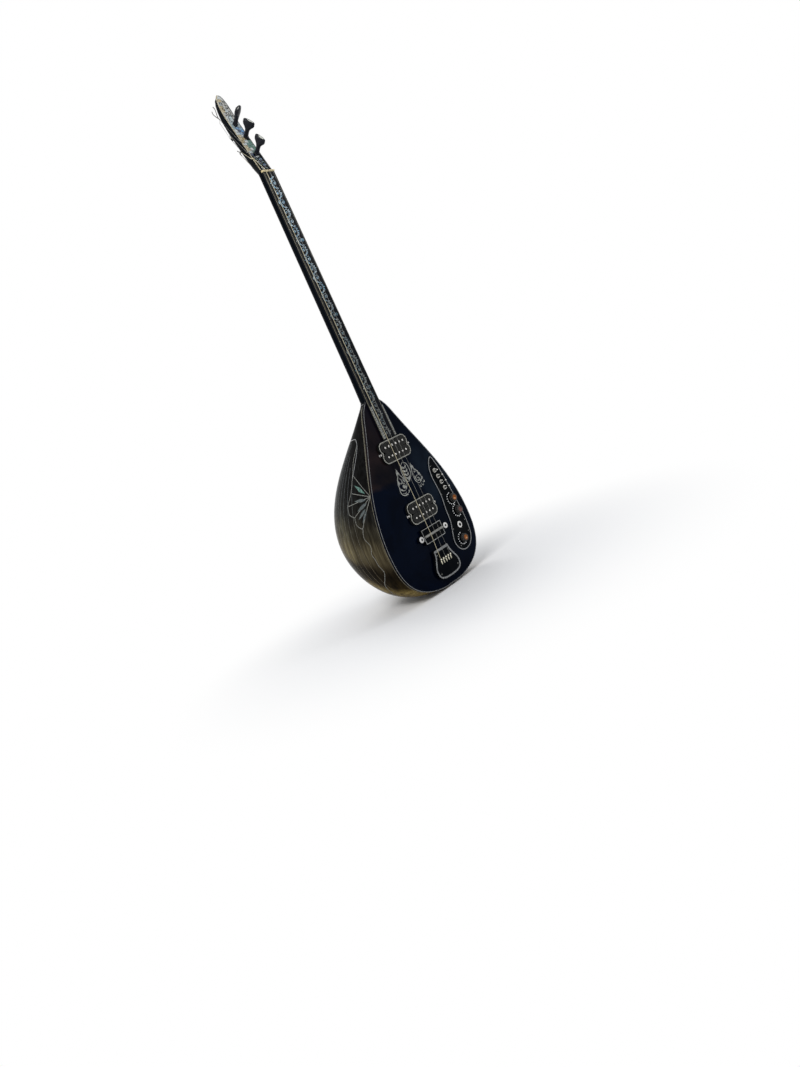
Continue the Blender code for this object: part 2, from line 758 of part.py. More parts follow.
def make_bridge():
    """A low black bridge held down by two studs, with a bone saddle in its slot."""
    back = -GAP
    base = block("bridge_base", (-BRIDGE_HALF_LENGTH, -BRIDGE_TOP, BRIDGE_Z - BRIDGE_HALF_WIDTH),
                 (BRIDGE_HALF_LENGTH, back, BRIDGE_Z + BRIDGE_HALF_WIDTH), lacquer())
    flange = plate("bridge_flange", stadium(0, POST_Z, 2 * POST_X + 0.013, 0.013), -0.0022, back, lacquer())
    combine(base, flange, "UNION")
    slot = SADDLE_THICK / 2 + GAP
    cut = block("saddle_slot", (-SADDLE_HALF_LENGTH - GAP, -0.02, BRIDGE_Z - slot),
                (SADDLE_HALF_LENGTH + GAP, -BRIDGE_TOP + 0.0030, BRIDGE_Z + slot), bone())
    combine(base, cut, "DIFFERENCE")
    half = SADDLE_THICK / 2
    foot = -BRIDGE_TOP + 0.0030 - GAP
    rings = []
    for x in (-SADDLE_HALF_LENGTH, SADDLE_HALF_LENGTH):
        rings.append([(x, foot, BRIDGE_Z - half), (x, -SADDLE_TOP + 0.0010, BRIDGE_Z - half),
                      (x, -SADDLE_TOP, BRIDGE_Z - 0.0008), (x, -SADDLE_TOP, BRIDGE_Z + 0.0008),
                      (x, -SADDLE_TOP + 0.0010, BRIDGE_Z + half), (x, foot, BRIDGE_Z + half)])
    loft("bridge_saddle", rings, bone())
    for name, side in (("left", -1), ("right", 1)):
        drill(base, side * POST_X, POST_Z, 0.0038)
        profile = ((0.0, 0.0030, 0.0030), (0.0195, 0.0032, 0.0032), (0.0196, 0.0060, 0.0060),
                   (0.0236, 0.0060, 0.0060), (0.0242, 0.0054, 0.0054))
        post = turned(f"bridge_post_{name}", profile, chrome(), (side * POST_X, 0.0170, POST_Z),
                      (0, -1, 0), 24)
        drill(post, side * POST_X, POST_Z, 0.0024, front=-0.02, back=-0.0045, sides=6)


def make_tailpiece():
    """A raised shield that anchors the strings on a bar of five pins."""
    left = [(-x, z) for x, z in reversed(TAILPIECE_RIGHT[:-1])]
    outline = list(TAILPIECE_RIGHT) + left
    plate("tailpiece", outline, -TAILPIECE_TOP, -GAP, lacquer())
    low = -TAILPIECE_TOP - GAP
    anchor = block("string_anchor", (-0.0185, low - 0.0012, PIN_Z - 0.0080), (0.0185, low, PIN_Z + 0.0026),
                   chrome())
    pins = []
    for k in range(PINS):
        x = (k - (PINS - 1) / 2) * PIN_PITCH
        profile = ((0.0, 0.0014, 0.0014), (0.0023, 0.0014, 0.0014), (0.0024, 0.0019, 0.0019),
                   (0.0032, 0.0016, 0.0016))
        pins.append(turned("string_pin", profile, chrome(), (x, -PIN_TOP + 0.0032, PIN_Z),
                           (0, -1, 0), 10))
    combine(anchor, gather("string_pins", pins), "UNION")


def make_control_plate():
    cover = plate("control_plate", smooth_loop(PLATE_EDGE, 3), -PLATE_TOP, -GAP, lacquer())
    for x, z in KNOB_SEATS.values():
        drill(cover, x, z, 0.0039)
    for i in range(SWITCHES):
        drill(cover, *switch_seat(i), 0.0034, sides=12)
    drill(cover, *JACK_SEAT, 0.0050)


def make_potentiometer(name, x, z):
    """The can and threaded bush stay put; the shaft and knob turn together."""
    profile = ((0.0, 0.0112, 0.0112), (0.0006, 0.0118, 0.0118), (0.0090, 0.0118, 0.0118),
               (0.0092, 0.0034, 0.0034), (0.0148, 0.0034, 0.0034), (0.0149, 0.0052, 0.0052),
               (0.0166, 0.0052, 0.0052), (0.0168, 0.0034, 0.0034), (0.0172, 0.0034, 0.0034))
    can = turned(f"{name}_pot", profile, steel(), (x, 0.0128, z), (0, -1, 0), 20)
    drill(can, x, z, 0.0030, front=-0.02, back=0.0060, sides=12)
    shaft = rod(f"{name}_shaft", 0.0026, (x, 0.0055, z), (x, -0.0085, z), steel(), 12)
    move_origin(shaft, (x, 0.0, z))
    base = 0.0050
    profile = ((0.0, 0.0086, 0.0086), (0.0008, 0.0089, 0.0089), (0.0016, 0.0082, 0.0082),
               (0.0046, 0.0078, 0.0078), (0.0054, 0.0073, 0.0073), (0.0058, 0.0062, 0.0062))
    knob = turned(f"{name}_knob", profile, plastic(), (x, -base, z), (0, -1, 0), 24)
    drill(knob, x, z, 0.0029, front=-0.0090, back=0.02, sides=12)
    move_origin(knob, (x, 0.0, z))


def make_switch(i):
    """A miniature toggle: body with threaded bush and nut, and its bat lever."""
    x, z = switch_seat(i)
    top = BOARD + GAP
    body = block(f"toggle_switch_{i + 1}", (x - 0.0063, top, z - 0.0038), (x + 0.0063, top + 0.0100, z + 0.0038),
                 plastic())
    profile = ((0.0, 0.0030, 0.0030), (0.0064, 0.0030, 0.0030), (0.0066, 0.0045, 0.0045),
               (0.0082, 0.0045, 0.0045), (0.0084, 0.0031, 0.0031), (0.0110, 0.0031, 0.0031))
    bush = turned("switch_bush", profile, chrome(), (x, 0.0045, z), (0, -1, 0), 12)
    combine(body, bush, "UNION")
    bore = ((0.0, 0.0018, 0.0018), (0.0035, 0.0018, 0.0018), (0.0100, 0.0027, 0.0027))
    cut = turned("switch_bore", bore, chrome(), (x, 0.0020, z), (0, -1, 0), 12)
    combine(body, cut, "DIFFERENCE")
    pivot = Vector((x, -0.0012, z))
    lean = SWITCH_LEAN * SWITCH_REST_SIDE[i]
    axis = Vector((math.sin(lean), -math.cos(lean), 0.0))
    bat = ((-0.0013, 0.0008, 0.0008), (-0.0007, 0.0014, 0.0014), (0.0007, 0.0014, 0.0014),
           (0.0014, 0.0009, 0.0009), (0.0060, 0.0010, 0.0010), (0.0112, 0.0015, 0.0015),
           (0.0132, 0.0013, 0.0013), (0.0139, 0.0007, 0.0007))
    lever = turned(f"toggle_lever_{i + 1}", bat, chrome(), pivot, axis, 10)
    move_origin(lever, pivot)


def make_jack():
    """A closed quarter-inch jack: bush and barrel in one, with its ring nut."""
    x, z = JACK_SEAT
    profile = ((0.0, 0.0068, 0.0068), (0.0206, 0.0068, 0.0068), (0.0208, 0.0046, 0.0046),
               (0.0262, 0.0046, 0.0046), (0.0263, 0.0065, 0.0065), (0.0282, 0.0065, 0.0065),
               (0.0286, 0.0059, 0.0059))
    jack = turned("output_jack", profile, chrome(), (x, 0.0242, z), (0, -1, 0), 24)
    drill(jack, x, z, 0.00335, front=-0.02, back=0.0225, sides=24)


def make_leads():
    """The pickups' joined lead to the volume control, and the lead on to the jack."""
    joined = solid_tube("pickup_lead", open_curve(NECK_LEAD, 2), LEAD_RADIUS, cable_jacket())
    branch = solid_tube("bridge_lead", open_curve(BRIDGE_LEAD, 2), LEAD_RADIUS, cable_jacket())
    combine(joined, branch, "UNION")
    tube("jack_lead", open_curve(JACK_LEAD, 2), LEAD_RADIUS, cable_jacket(), 2)


def main():
    clear_scene()
    make_bowl()
    cavity = make_cavity()
    make_soundboard()
    make_inner_blocks(cavity)
    make_neck()
    make_fretboard()
    make_nut()
    make_head()
    make_pegs()
    make_windings()
    make_strings()
    for place in PICKUP_Z:
        make_pickup(place)
    make_bridge()
    make_tailpiece()
    make_control_plate()
    for name, (x, z) in KNOB_SEATS.items():
        make_potentiometer(name, x, z)
    for i in range(SWITCHES):
        make_switch(i)
    make_jack()
    make_leads()


main()
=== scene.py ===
"""Looks of the electric baglama: lacquer, purfling, shell inlay, pickups and controls.

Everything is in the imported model's frame: the soundboard faces -Y, the neck runs up +Z.
"""
import math
import random

import bmesh
import bpy
from mathutils import Matrix, Vector


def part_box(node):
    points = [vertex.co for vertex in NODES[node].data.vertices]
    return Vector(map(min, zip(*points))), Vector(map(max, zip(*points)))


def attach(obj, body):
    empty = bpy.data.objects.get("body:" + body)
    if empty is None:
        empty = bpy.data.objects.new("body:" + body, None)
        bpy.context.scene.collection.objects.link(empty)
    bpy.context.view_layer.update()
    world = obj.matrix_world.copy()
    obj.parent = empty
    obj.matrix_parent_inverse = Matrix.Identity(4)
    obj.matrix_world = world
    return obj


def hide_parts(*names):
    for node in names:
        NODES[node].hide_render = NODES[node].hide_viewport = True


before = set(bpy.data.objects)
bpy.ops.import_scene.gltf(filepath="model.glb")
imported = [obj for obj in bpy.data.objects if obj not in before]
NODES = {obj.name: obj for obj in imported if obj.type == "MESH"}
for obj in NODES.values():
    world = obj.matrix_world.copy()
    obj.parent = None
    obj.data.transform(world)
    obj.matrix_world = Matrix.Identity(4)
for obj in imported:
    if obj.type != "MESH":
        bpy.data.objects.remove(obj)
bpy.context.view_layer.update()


def milli(table):
    """Numbers in thousandths, single or nested: millimetres become metres."""
    return table / 1000 if isinstance(table, (int, float)) else tuple(milli(value) for value in table)


# Sizes that the model's shape and its ornament are drawn from, in metres unless said
BODY_LENGTH = 0.3986
BODY_END = 0.380
WIDTH_WAVES = (0.1087, 0.0362, 0.0055, 0.0017, 0.0027)
DEPTH_WAVES = (0.1730, 0.0415, -0.0300)
TAIL_BULGE = 0.22
SQUARENESS = 2.4                 # of the bowl's section, 2 being an ellipse
BLEND_POWER = 6                  # how tightly the body and the neck run together
NECK_FROM, NECK_RISE = 0.20, 0.18
RIM = 0.0033
HEEL_FROM = 0.340
HEEL_TUCK = 0.011
NUT_Z = 0.821
FRETBOARD_TOP = 0.0040
FRETBOARD_END = 0.3015
HEAD_TILT = math.radians(14.0)
HEAD_START = 0.8253
NECK_HALF, NECK_HALF_LOSS = 0.0164, 0.0026       # at the body's end, and how much less at the nut
NECK_DEEP, NECK_DEEP_LOSS = 0.0222, 0.0042
HEAD_SIZES = milli((             # along the head, half width
    (0, 13.8), (12, 13.6), (35, 13.4), (60, 13.0), (85, 12.6), (105, 12.6), (125, 12.6), (140, 11.8),
    (150, 10.2), (157, 8.0), (161, 5.3), (163, 2.2),
))
CURL_FROM = 0.105
CURL_LENGTH = 0.058
CURL_REACH = 0.0055
CURL_POWER = 1.6
# Each peg's place along and across the head, and the turn of its handle in degrees
PEG_SEATS = ((0.1017, -0.0002, 34.0), (0.0731, 0.0042, -60.0), (0.0371, 0.0042, -75.0))
PEG_ROOM = 0.0044                # bare ring left round each peg's hole in the head's inlay
PEG_INSETS = milli(((4.4, 0.6, -2.5), (5.8, 1.6, 2.0), (5.6, 2.5, 1.5)))    # half width and depth, shift
PEG_LEAN_UP = math.radians(10.0)
PEG_LEAN_LEFT = math.radians(8.0)
WINDING_BACK = 0.0220            # behind the head's face, along the peg
WINDING_RADIUS = 0.0038          # of the shaft, with a little room
HEAD_BEND = 0.0120               # depth of the strings' bend round the head's edge
# Where each string goes round the head's edge, and where it comes back behind the head
STRING_EDGE = (0.0260, 0.0400, 0.0660)
STRING_BACK = (0.0545, 0.0925, 0.1250)
END_RADIUS = 0.0007
FREE_ENDS = {                    # by string: out from the head's side, along from its back bend, depth
    0: milli((((0.8, -0.2, 12.5), (3.0, 0.6, 13.5), (4.8, 4.0, 14.5)),
              ((0.8, -1.6, 13.0), (2.6, -1.4, 14.5), (2.0, -4.0, 15.0), (0.6, -6.2, 15.0)))),
    2: milli((((0.6, 2.7, 12.5), (3.1, 5.9, 13.0), (5.1, 9.6, 13.5), (6.0, 13.7, 14.0), (4.9, 18.7, 14.5)),
              ((1.4, 5.2, 12.0), (-0.2, 12.4, 12.0), (-1.7, 20.9, 11.5), (0.4, 25.5, 11.0)))),
}
STRING_RADIUS = (0.00050, 0.00036, 0.00028)
STRING_SPREAD = ((-0.0144, -0.0130, -0.0080), (0.0, 0.0, 0.0), (0.0144, 0.0130, 0.0080))  # pin, bridge, nut
PIN_TOP, PIN_Z, SADDLE_TOP, NUT_TOP = 0.0084, 0.0547, 0.0100, 0.0054
STRING_CLEAR = 0.0003            # between a string and what it lies on
TURNS, TURN_STEPS, TURN_PITCH = 3, 28, 0.0015
PICKUP_Z = {"neck": 0.2786, "bridge": 0.1542}
FRAME_TOP = 0.0050
KNOBS = {"volume": (0.0890, 0.1430), "tone": (0.0903, 0.1165), "blend": (0.0718, 0.0632)}
COIL_TOP = BRIDGE_TOP = TAILPIECE_TOP = 0.0060
PLATE_TOP = 0.0018
BRIDGE_Z = 0.105
BRIDGE_LINE = (0.0282, 0.0137)   # half length and width of its silver line
STUD_TOP = 0.0048
POLE_ROW = 0.00925               # from the pickup's middle
POLE_GAP = 0.010
FRAME_SIZE, COIL_SIZE = (0.0750, 0.0222), (0.0684, 0.0162)
SLUG_TOP, SCREW_TOP = 0.0064, 0.0074
PLATE_EDGE = milli((
    (81.0, 234), (88.0, 217), (93.5, 190), (98.5, 150), (102, 110), (101.5, 80), (97, 60), (84, 46), (66, 43),
    (53, 51), (48.5, 66), (54, 84), (61, 105), (63, 130), (66.5, 152), (66.5, 175), (64.5, 200), (69, 220),
))
TAIL_RIGHT = milli((
    (21.5, 73), (22.5, 63), (28.5, 51), (34.5, 39), (35.0, 28.5), (30.0, 20), (18.0, 16), (0, 15),
))
BOWL_WALL = 0.004
STAVE_LINES = 29
# On the bowl's side: behind the soundboard's face, and up the neck
FAN_APEX = milli((5.0, 220.1))
FAN_TIPS = milli(((48.4, 265.1), (59.2, 236.6), (79.8, 216.7), (62.7, 194), (45.2, 171.5), (36, 183.9)))
FAN_BORDERS = milli((
    ((31.4, 312.1), (36.6, 303.1), (44.4, 292.1), (48.3, 279), (51.2, 266.9), (55.3, 255.1), (59.6, 244.4),
     (64, 236), (79.8, 216.7)),
    ((79.8, 216.7), (79.9, 203.5), (72, 197.5), (62.7, 194)),
    ((62.7, 194), (62.2, 181.8), (54.6, 174.3), (45.2, 171.5), (36.2, 183.9)),
    ((45.2, 171.5), (50, 153.7), (38.9, 136.3), (44.8, 121.4), (41, 110), (39.6, 98.3), (33.5, 83.3),
     (43.7, 68.7), (56.5, 54.7), (60, 30)),
))
FAN_SLIVERS = milli((((20, 218), (55, 221.5), 5.6), ((18, 212), (50, 203), 6.6), ((24, 203), (52, 188), 5.6),
                     ((22, 200), (42, 180), 4.6)))
UPPER_RIM = milli(((5, 220.1), (5.4, 233), (6, 250), (6.6, 275), (6.8, 305), (6.6, 340), (6.2, 372)))
FERRULE_GAP = 0.0072
DIAL_RADIUS, DIAL_DOT, DIAL_LIMIT = 0.0118, 0.00115, 0.0978    # no mark past the limit
KNOB_RIBS = 36
VINE_START, VINE_END, VINE_PERIOD = 0.304, 0.814, 0.036
HEAD_BANDS = (                   # where each band of tiles ends in mm, its tones from left to right
    (39, "navy white navy"), (44.5, "white green green"), (50.5, "cream white green"),
    (56.5, "cream green green"), (62, "white abalone green"), (68, "cream white green"),
    (74, "cream cream green"), (80, "cream white blue"), (86, "white blue navy"), (91.5, "white navy blue"),
    (97, "pale blue blue"), (103, "pale silver pale"), (109, "pale pale pale"), (115, "white pale silver"),
    (122, "white pale silver"), (129, "silver silver"), (136, "cream white silver"),
    (143, "cream silver silver"), (150, "white silver"), (156, "cream silver"), (162.4, "white"),
)
LINE_LIFT = 0.00012              # how far lines and patches stand out of their surface
PATCH_LIFT = 0.00014
INLAY_SINK = 0.00015             # how deep their sides go into it


# Materials


LOOKS = {}                       # by the material's name
SHADER_INPUTS = {"colour": "Base Color", "roughness": "Roughness", "normal": "Normal", "metal": "Metallic",
                 "coat": "Coat Weight", "coat_rough": "Coat Roughness", "specular": "Specular IOR Level",
                 "tint": "Specular Tint"}


def rgba(tone):
    """A colour, or a grey from one number, with full alpha."""
    return (*(tone if isinstance(tone, tuple) else (tone,) * 3), 1.0)


def feed(tree, slot, value):
    """Give an input another node's output, or a number, a vector or a colour."""
    if isinstance(value, bpy.types.NodeSocket):
        tree.links.new(value, slot)
    else:
        slot.default_value = rgba(value) if slot.type == "RGBA" else value


def add_node(tree, kind, inputs=None, **settings):
    """A new node with its settings and inputs."""
    made = tree.nodes.new(kind)
    for key, value in settings.items():
        setattr(made, key, value)
    for key, value in (inputs or {}).items():
        feed(tree, made.inputs[key], value)
    return made


class Look:
    """A procedural material: colours, roughness and bump, each from its own noise."""

    def __init__(self, name):
        self.material = bpy.data.materials.new(name)
        self.material.use_nodes = True
        self.tree = self.material.node_tree
        self.shader = self.tree.nodes["Principled BSDF"]
        self.coords = self.add("ShaderNodeTexCoord").outputs["Object"]
        self.height = None
        LOOKS[name] = self

    def add(self, kind, inputs=None, **settings):
        return add_node(self.tree, kind, inputs, **settings)

    def axis(self, name):
        """How far a point is along one axis, in metres."""
        return self.add("ShaderNodeSeparateXYZ", {0: self.coords}).outputs[name]

    def noise(self, scale, detail, stretch=(1, 1, 1), distortion=0.0):
        place = self.add("ShaderNodeMapping", {"Vector": self.coords, "Scale": stretch}).outputs["Vector"]
        return self.add("ShaderNodeTexNoise", {"Vector": place, "Scale": scale, "Detail": detail,
                                               "Distortion": distortion}).outputs["Fac"]

    def cells(self, scale, feature="F1", output="Distance"):
        return self.add("ShaderNodeTexVoronoi", {"Vector": self.coords, "Scale": scale},
                        feature=feature).outputs[output]

    def math(self, operation, first, second):
        return self.add("ShaderNodeMath", {0: first, 1: second}, operation=operation).outputs[0]

    def ramp(self, factor, stops, smooth=False):
        """A run of colours or greys."""
        made = self.add("ShaderNodeValToRGB", {"Fac": factor})
        if smooth:
            made.color_ramp.interpolation = "EASE"
        while len(made.color_ramp.elements) < len(stops):
            made.color_ramp.elements.new(0.5)
        for element, (place, tone) in zip(made.color_ramp.elements, stops):
            element.position = place
            element.color = rgba(tone)
        return made.outputs["Color"]

    def mix(self, factor, first, second, blend="MIX"):
        return self.add("ShaderNodeMix", {0: factor, 6: first, 7: second}, data_type="RGBA",
                        blend_type=blend).outputs[2]

    def times(self, first, *others):
        """Colours or shares multiplied together."""
        for other in others:
            first = self.mix(1.0, first, other, "MULTIPLY")
        return first

    def fixed(self, **values):
        """Feed the shader's inputs by their short names."""
        for key, value in values.items():
            feed(self.tree, self.shader.inputs[SHADER_INPUTS[key]], value)
        return self

    def colour(self, source):
        return self.fixed(colour=source)

    def rough(self, low, high, scale, stretch=(1, 1, 1)):
        spread = self.add("ShaderNodeMapRange", {"Value": self.noise(scale, 4.0, stretch), "To Min": low,
                                                 "To Max": high})
        return self.fixed(roughness=spread.outputs["Result"])

    def bump(self, source, distance, strength):
        """Bump of a real height in metres; several are stacked."""
        inputs = {"Height": source, "Distance": distance, "Strength": strength}
        if self.height:
            inputs["Normal"] = self.height
        self.height = self.add("ShaderNodeBump", inputs).outputs["Normal"]
        return self.fixed(normal=self.height)

    def scratched(self):
        """Fine dust scratches along the neck."""
        return self.bump(self.noise(900.0, 2.0, (1.0, 1.0, 0.08)), 0.000012, 0.4)


def lacquer(name, dark, light, scale, gloss):
    """Thick polished lacquer, its colour shifting slowly, with faint waviness and dust scratches."""
    look = Look(name)
    cloud = look.noise(scale, 2.0, (1.0, 1.0, 0.6), 0.6)
    look.colour(look.ramp(cloud, ((0.40, dark), (0.64, light)), True))
    look.rough(0.05, 0.11, 30.0)
    look.bump(look.noise(55.0, 2.0), 0.00012, 0.35).scratched()
    return look.fixed(specular=gloss, tint=(0.60, 0.78, 1.0))


def board_lacquer():
    """Blue-black lacquer, with a painted brown reflection left of the pickups, a painted bluish sheen right
    of the neck pickup and painted reflection clouds.
    """
    look = Look("soundboard_lacquer")
    drift = look.math("MULTIPLY", look.noise(9.0, 3.0, (1.0, 1.0, 1.6), 1.4), 0.10)
    height = look.math("MULTIPLY", look.math("ADD", look.axis("Z"), drift), 2.0)
    side = look.math("MULTIPLY", look.math("ADD", look.axis("X"), 0.10), 5.0)
    # Painted brown reflection high on the board's left.
    brown = look.times(look.ramp(height, ((0.53, 0), (0.58, 1), (0.74, 1), (0.86, 0.35))),
                       look.ramp(side, ((0.32, 1), (0.56, 0))))
    # Painted bluish sheen right of the neck pickup, mixed into the navy below.
    blue = look.times(look.ramp(height, ((0.36, 0), (0.46, 1), (0.60, 1), (0.70, 0)), True),
                      look.ramp(side, ((0.60, 0), (0.72, 1)), True))
    navy = look.mix(blue, (0.0003, 0.0013, 0.0058), (0.0036, 0.0066, 0.0128))
    hue = look.mix(brown, navy, (0.0098, 0.0060, 0.0066))
    # Painted reflection clouds: the whole board lighter and darker in soft patches.
    shade = look.ramp(look.noise(16.0, 3.0, (1, 1, 1), 1.0),
                      ((0.38, (0.5, 0.6, 0.7)), (0.66, (1.5, 1.5, 1.4))))
    look.colour(look.times(hue, shade))
    look.rough(0.04, 0.09, 30.0)
    look.bump(look.noise(40.0, 2.0), 0.00010, 0.3).scratched()
    return look.fixed(specular=0.030, tint=(0.50, 0.72, 1.0))


def bowl_lacquer():
    """Black at the shoulders, golden brown at the tail (partly the wood's tone, partly a painted warm
    reflection), with a painted shade band, painted shade at the tail's end, a painted sheen towards the back
    and grain along each stave.
    """
    look = Look("bowl_lacquer")
    back, up = look.axis("Y"), look.axis("Z")
    wobble = look.math("MULTIPLY", look.noise(11.0, 3.0, (1, 1, 0.5), 0.8), 0.050)
    height = look.math("SUBTRACT", look.math("ADD", up, wobble), look.math("MULTIPLY", back, 0.30))
    span = look.math("MULTIPLY", height, 1 / 0.34)
    # Golden brown towards the tail, partly the wood's tone and partly a painted warm reflection; the darker
    # stops at 0.0 and 0.27 are painted shade.
    base = look.ramp(span, ((0.0, (0.110, 0.086, 0.034)), (0.15, (0.185, 0.144, 0.054)),
                            (0.27, (0.040, 0.032, 0.019)), (0.38, (0.078, 0.068, 0.044)),
                            (0.50, (0.034, 0.032, 0.025)), (0.60, (0.013, 0.0136, 0.0136)),
                            (0.72, (0.0080, 0.0088, 0.0096)), (0.95, (0.0075, 0.0082, 0.0094))), True)
    # Painted bluish sheen over the back of the bowl's upper part.
    deep = look.ramp(look.math("MULTIPLY", back, 5.0), ((0.42, 0), (0.60, 1)), True)
    above = look.ramp(look.math("MULTIPLY", up, 5.0), ((0.38, 0), (0.58, 1)), True)
    painted_sheen = look.mix(look.times(deep, above), (1.0, 1.0, 1.0), (2.5, 2.55, 2.4))
    grain = look.noise(260.0, 5.0, (1.0, 1.0, 0.035), 0.3)
    figure = look.ramp(grain, ((0.34, (0.46, 0.42, 0.36)), (0.68, (1.36, 1.32, 1.20))))
    # Painted shade band across the bowl above the golden tail.
    ragged = look.math("MULTIPLY", look.noise(20.0, 4.0, (1, 1, 0.7), 1.0), 0.10)
    painted_shade_band = look.ramp(look.math("ADD", span, ragged),
                     ((0.20, 1.0), (0.26, (0.16, 0.14, 0.12)), (0.32, (0.20, 0.18, 0.16)), (0.39, 1.0)), True)
    # Darker blots of random tone, partly painted shade patches.
    tone_and_painted_shade_blots = look.ramp(look.noise(24.0, 4.0, (1.0, 1.0, 0.30), 1.4),
                     ((0.36, (0.60, 0.56, 0.52)), (0.56, (1.10, 1.08, 1.04))))
    look.colour(look.times(base, figure, tone_and_painted_shade_blots, painted_sheen, painted_shade_band))
    look.rough(0.08, 0.20, 26.0)
    look.bump(look.noise(45.0, 2.0), 0.00020, 0.4)
    look.bump(grain, 0.00003, 0.25)
    return look.fixed(specular=0.009, tint=(0.90, 0.93, 1.0))


def stave_line_look():
    """Wooden purfling: pale and cool near the shoulders, brown towards the tail, partly its own tone and
    partly a painted warm reflection like the bowl's.
    """
    look = Look("stave_lines")
    # Brown towards the tail: partly the lines' tone, partly painted warm reflection.
    tone = look.ramp(look.math("MULTIPLY", look.axis("Z"), 1 / 0.33),
                     ((0.0, (0.060, 0.048, 0.026)), (0.22, (0.110, 0.088, 0.052)),
                      (0.45, (0.130, 0.118, 0.092)), (0.70, (0.110, 0.120, 0.122)),
                      (1.0, (0.095, 0.105, 0.110))), True)
    fleck = look.ramp(look.noise(420.0, 4.0), ((0.3, 0.60), (0.7, 1.35)))
    look.colour(look.times(tone, fleck))
    look.rough(0.25, 0.45, 200.0)
    look.bump(look.noise(600.0, 3.0), 0.00003, 0.5)
    return look.fixed(specular=0.05)


def risen_metal(name, reach, stops):
    """Metal that changes with its height over the soundboard, such as a bright tip on a dark base."""
    look = Look(name)
    height = look.math("MULTIPLY", look.axis("Y"), -1.0 / reach)
    worn = look.math("ADD", height, look.math("MULTIPLY", look.noise(700.0, 3.0), 0.02))
    look.colour(look.ramp(worn, stops))
    look.rough(0.18, 0.36, 200.0)
    look.bump(look.noise(900.0, 3.0), 0.00002, 0.4)
    return look.fixed(metal=1.0)


def shell(name, scale, *tones, fade=None):
    """Small cut pieces of shell side by side, each with its own tone and thin dark joints.

    The tones are in thousandths. A fade is a ramp of colours up the neck that they are multiplied by.
    """
    look = Look(name)
    pick = look.add("ShaderNodeSeparateColor", {0: look.cells(scale, output="Color")})
    chips = look.ramp(pick.outputs[0], [(i / (len(tones) - 1), milli(tone)) for i, tone in enumerate(tones)])
    veins = look.ramp(look.noise(scale * 3.5, 3.0, (1, 1, 1), 2.0),
                      ((0.32, (0.62, 0.66, 0.70)), (0.66, (1.22, 1.20, 1.14))))
    edges = look.cells(scale, "DISTANCE_TO_EDGE")
    cut = look.times(chips, veins, look.ramp(edges, ((0.015, 0.16), (0.07, 1.0))))
    if fade:
        cut = look.times(cut, look.ramp(look.axis("Z"), fade, True))
    look.colour(cut)
    look.rough(0.16, 0.34, scale)
    look.bump(edges, 0.00004, 0.3)
    return look.fixed(specular=0.4, coat=0.25, coat_rough=0.06)


def metal(name, dark, light, low, high, along=1, scale=300.0):
    """Polished or drawn metal with smudges and fine marks along it, its two tones in thousandths."""
    look = Look(name)
    stretch = (1, 1, along)
    look.colour(look.ramp(look.noise(scale * 0.3, 4.0, stretch), ((0.3, milli(dark)), (0.7, milli(light)))))
    look.rough(low, high, scale, stretch)
    look.bump(look.noise(scale * 3, 3.0, stretch), 0.00001, 0.5)
    return look.fixed(metal=1.0)


def timber(name, dark, light, rough, scale, stretch, gloss):
    """Wood with its grain along the axis that is stretched most."""
    look = Look(name)
    grain = look.noise(scale, 6.0, stretch, 0.8)
    look.colour(look.ramp(grain, ((0.3, dark), (0.7, light))))
    look.rough(*rough, scale, stretch)
    look.bump(grain, 0.00008, 0.5)
    return look.fixed(specular=gloss)


def moulded(name, dark, light, low, high, gloss=0.5, scale=700.0):
    """Cast or moulded material, its two tones in thousandths."""
    look = Look(name)
    look.colour(look.ramp(look.noise(60.0, 3.0), ((0.3, milli(dark)), (0.7, milli(light)))))
    look.rough(low, high, 90.0)
    look.bump(look.noise(scale, 3.0), 0.00002, 0.4)
    return look.fixed(specular=gloss)


board_lacquer()
bowl_lacquer()
stave_line_look()
risen_metal("pin_bar", 0.016, ((0.0, (0.012, 0.012, 0.014)), (0.485, 0.020), (0.51, (0.50, 0.46, 0.30)),
                               (0.62, (0.72, 0.70, 0.58))))
risen_metal("switch_bush", 0.008, ((0.0, 0.04), (0.46, 0.11), (0.52, (0.66, 0.65, 0.61)),
                                   (0.85, (0.86, 0.86, 0.82))))
risen_metal("switch_lever", 0.016, ((0.0, 0.08), (0.70, (0.13, 0.13, 0.125)), (0.78, (0.52, 0.52, 0.48)),
                                    (0.92, (0.78, 0.78, 0.74))))
lacquer("neck_lacquer", (0.0010, 0.0022, 0.0046), (0.0026, 0.0038, 0.0060), 20.0, 0.007)
lacquer("head_lacquer", (0.0026, 0.0038, 0.0054), (0.0060, 0.0070, 0.0084), 30.0, 0.030)
lacquer("fittings_lacquer", (0.0012, 0.0016, 0.0026), (0.0032, 0.0034, 0.0042), 40.0, 0.022)
timber("fretboard_ebony", (0.0012, 0.0024, 0.0048), (0.0046, 0.0056, 0.0086), (0.14, 0.28), 400.0,
       (1, 1, 0.05), 0.045)
timber("peg_wood", (0.0060, 0.0070, 0.0110), (0.0150, 0.0155, 0.0210), (0.22, 0.40), 500.0, (1, 0.1, 1), 0.10)
timber("bare_wood", (0.30, 0.17, 0.08), (0.56, 0.38, 0.20), (0.5, 0.7), 120.0, (1, 1, 0.06), 0.5)

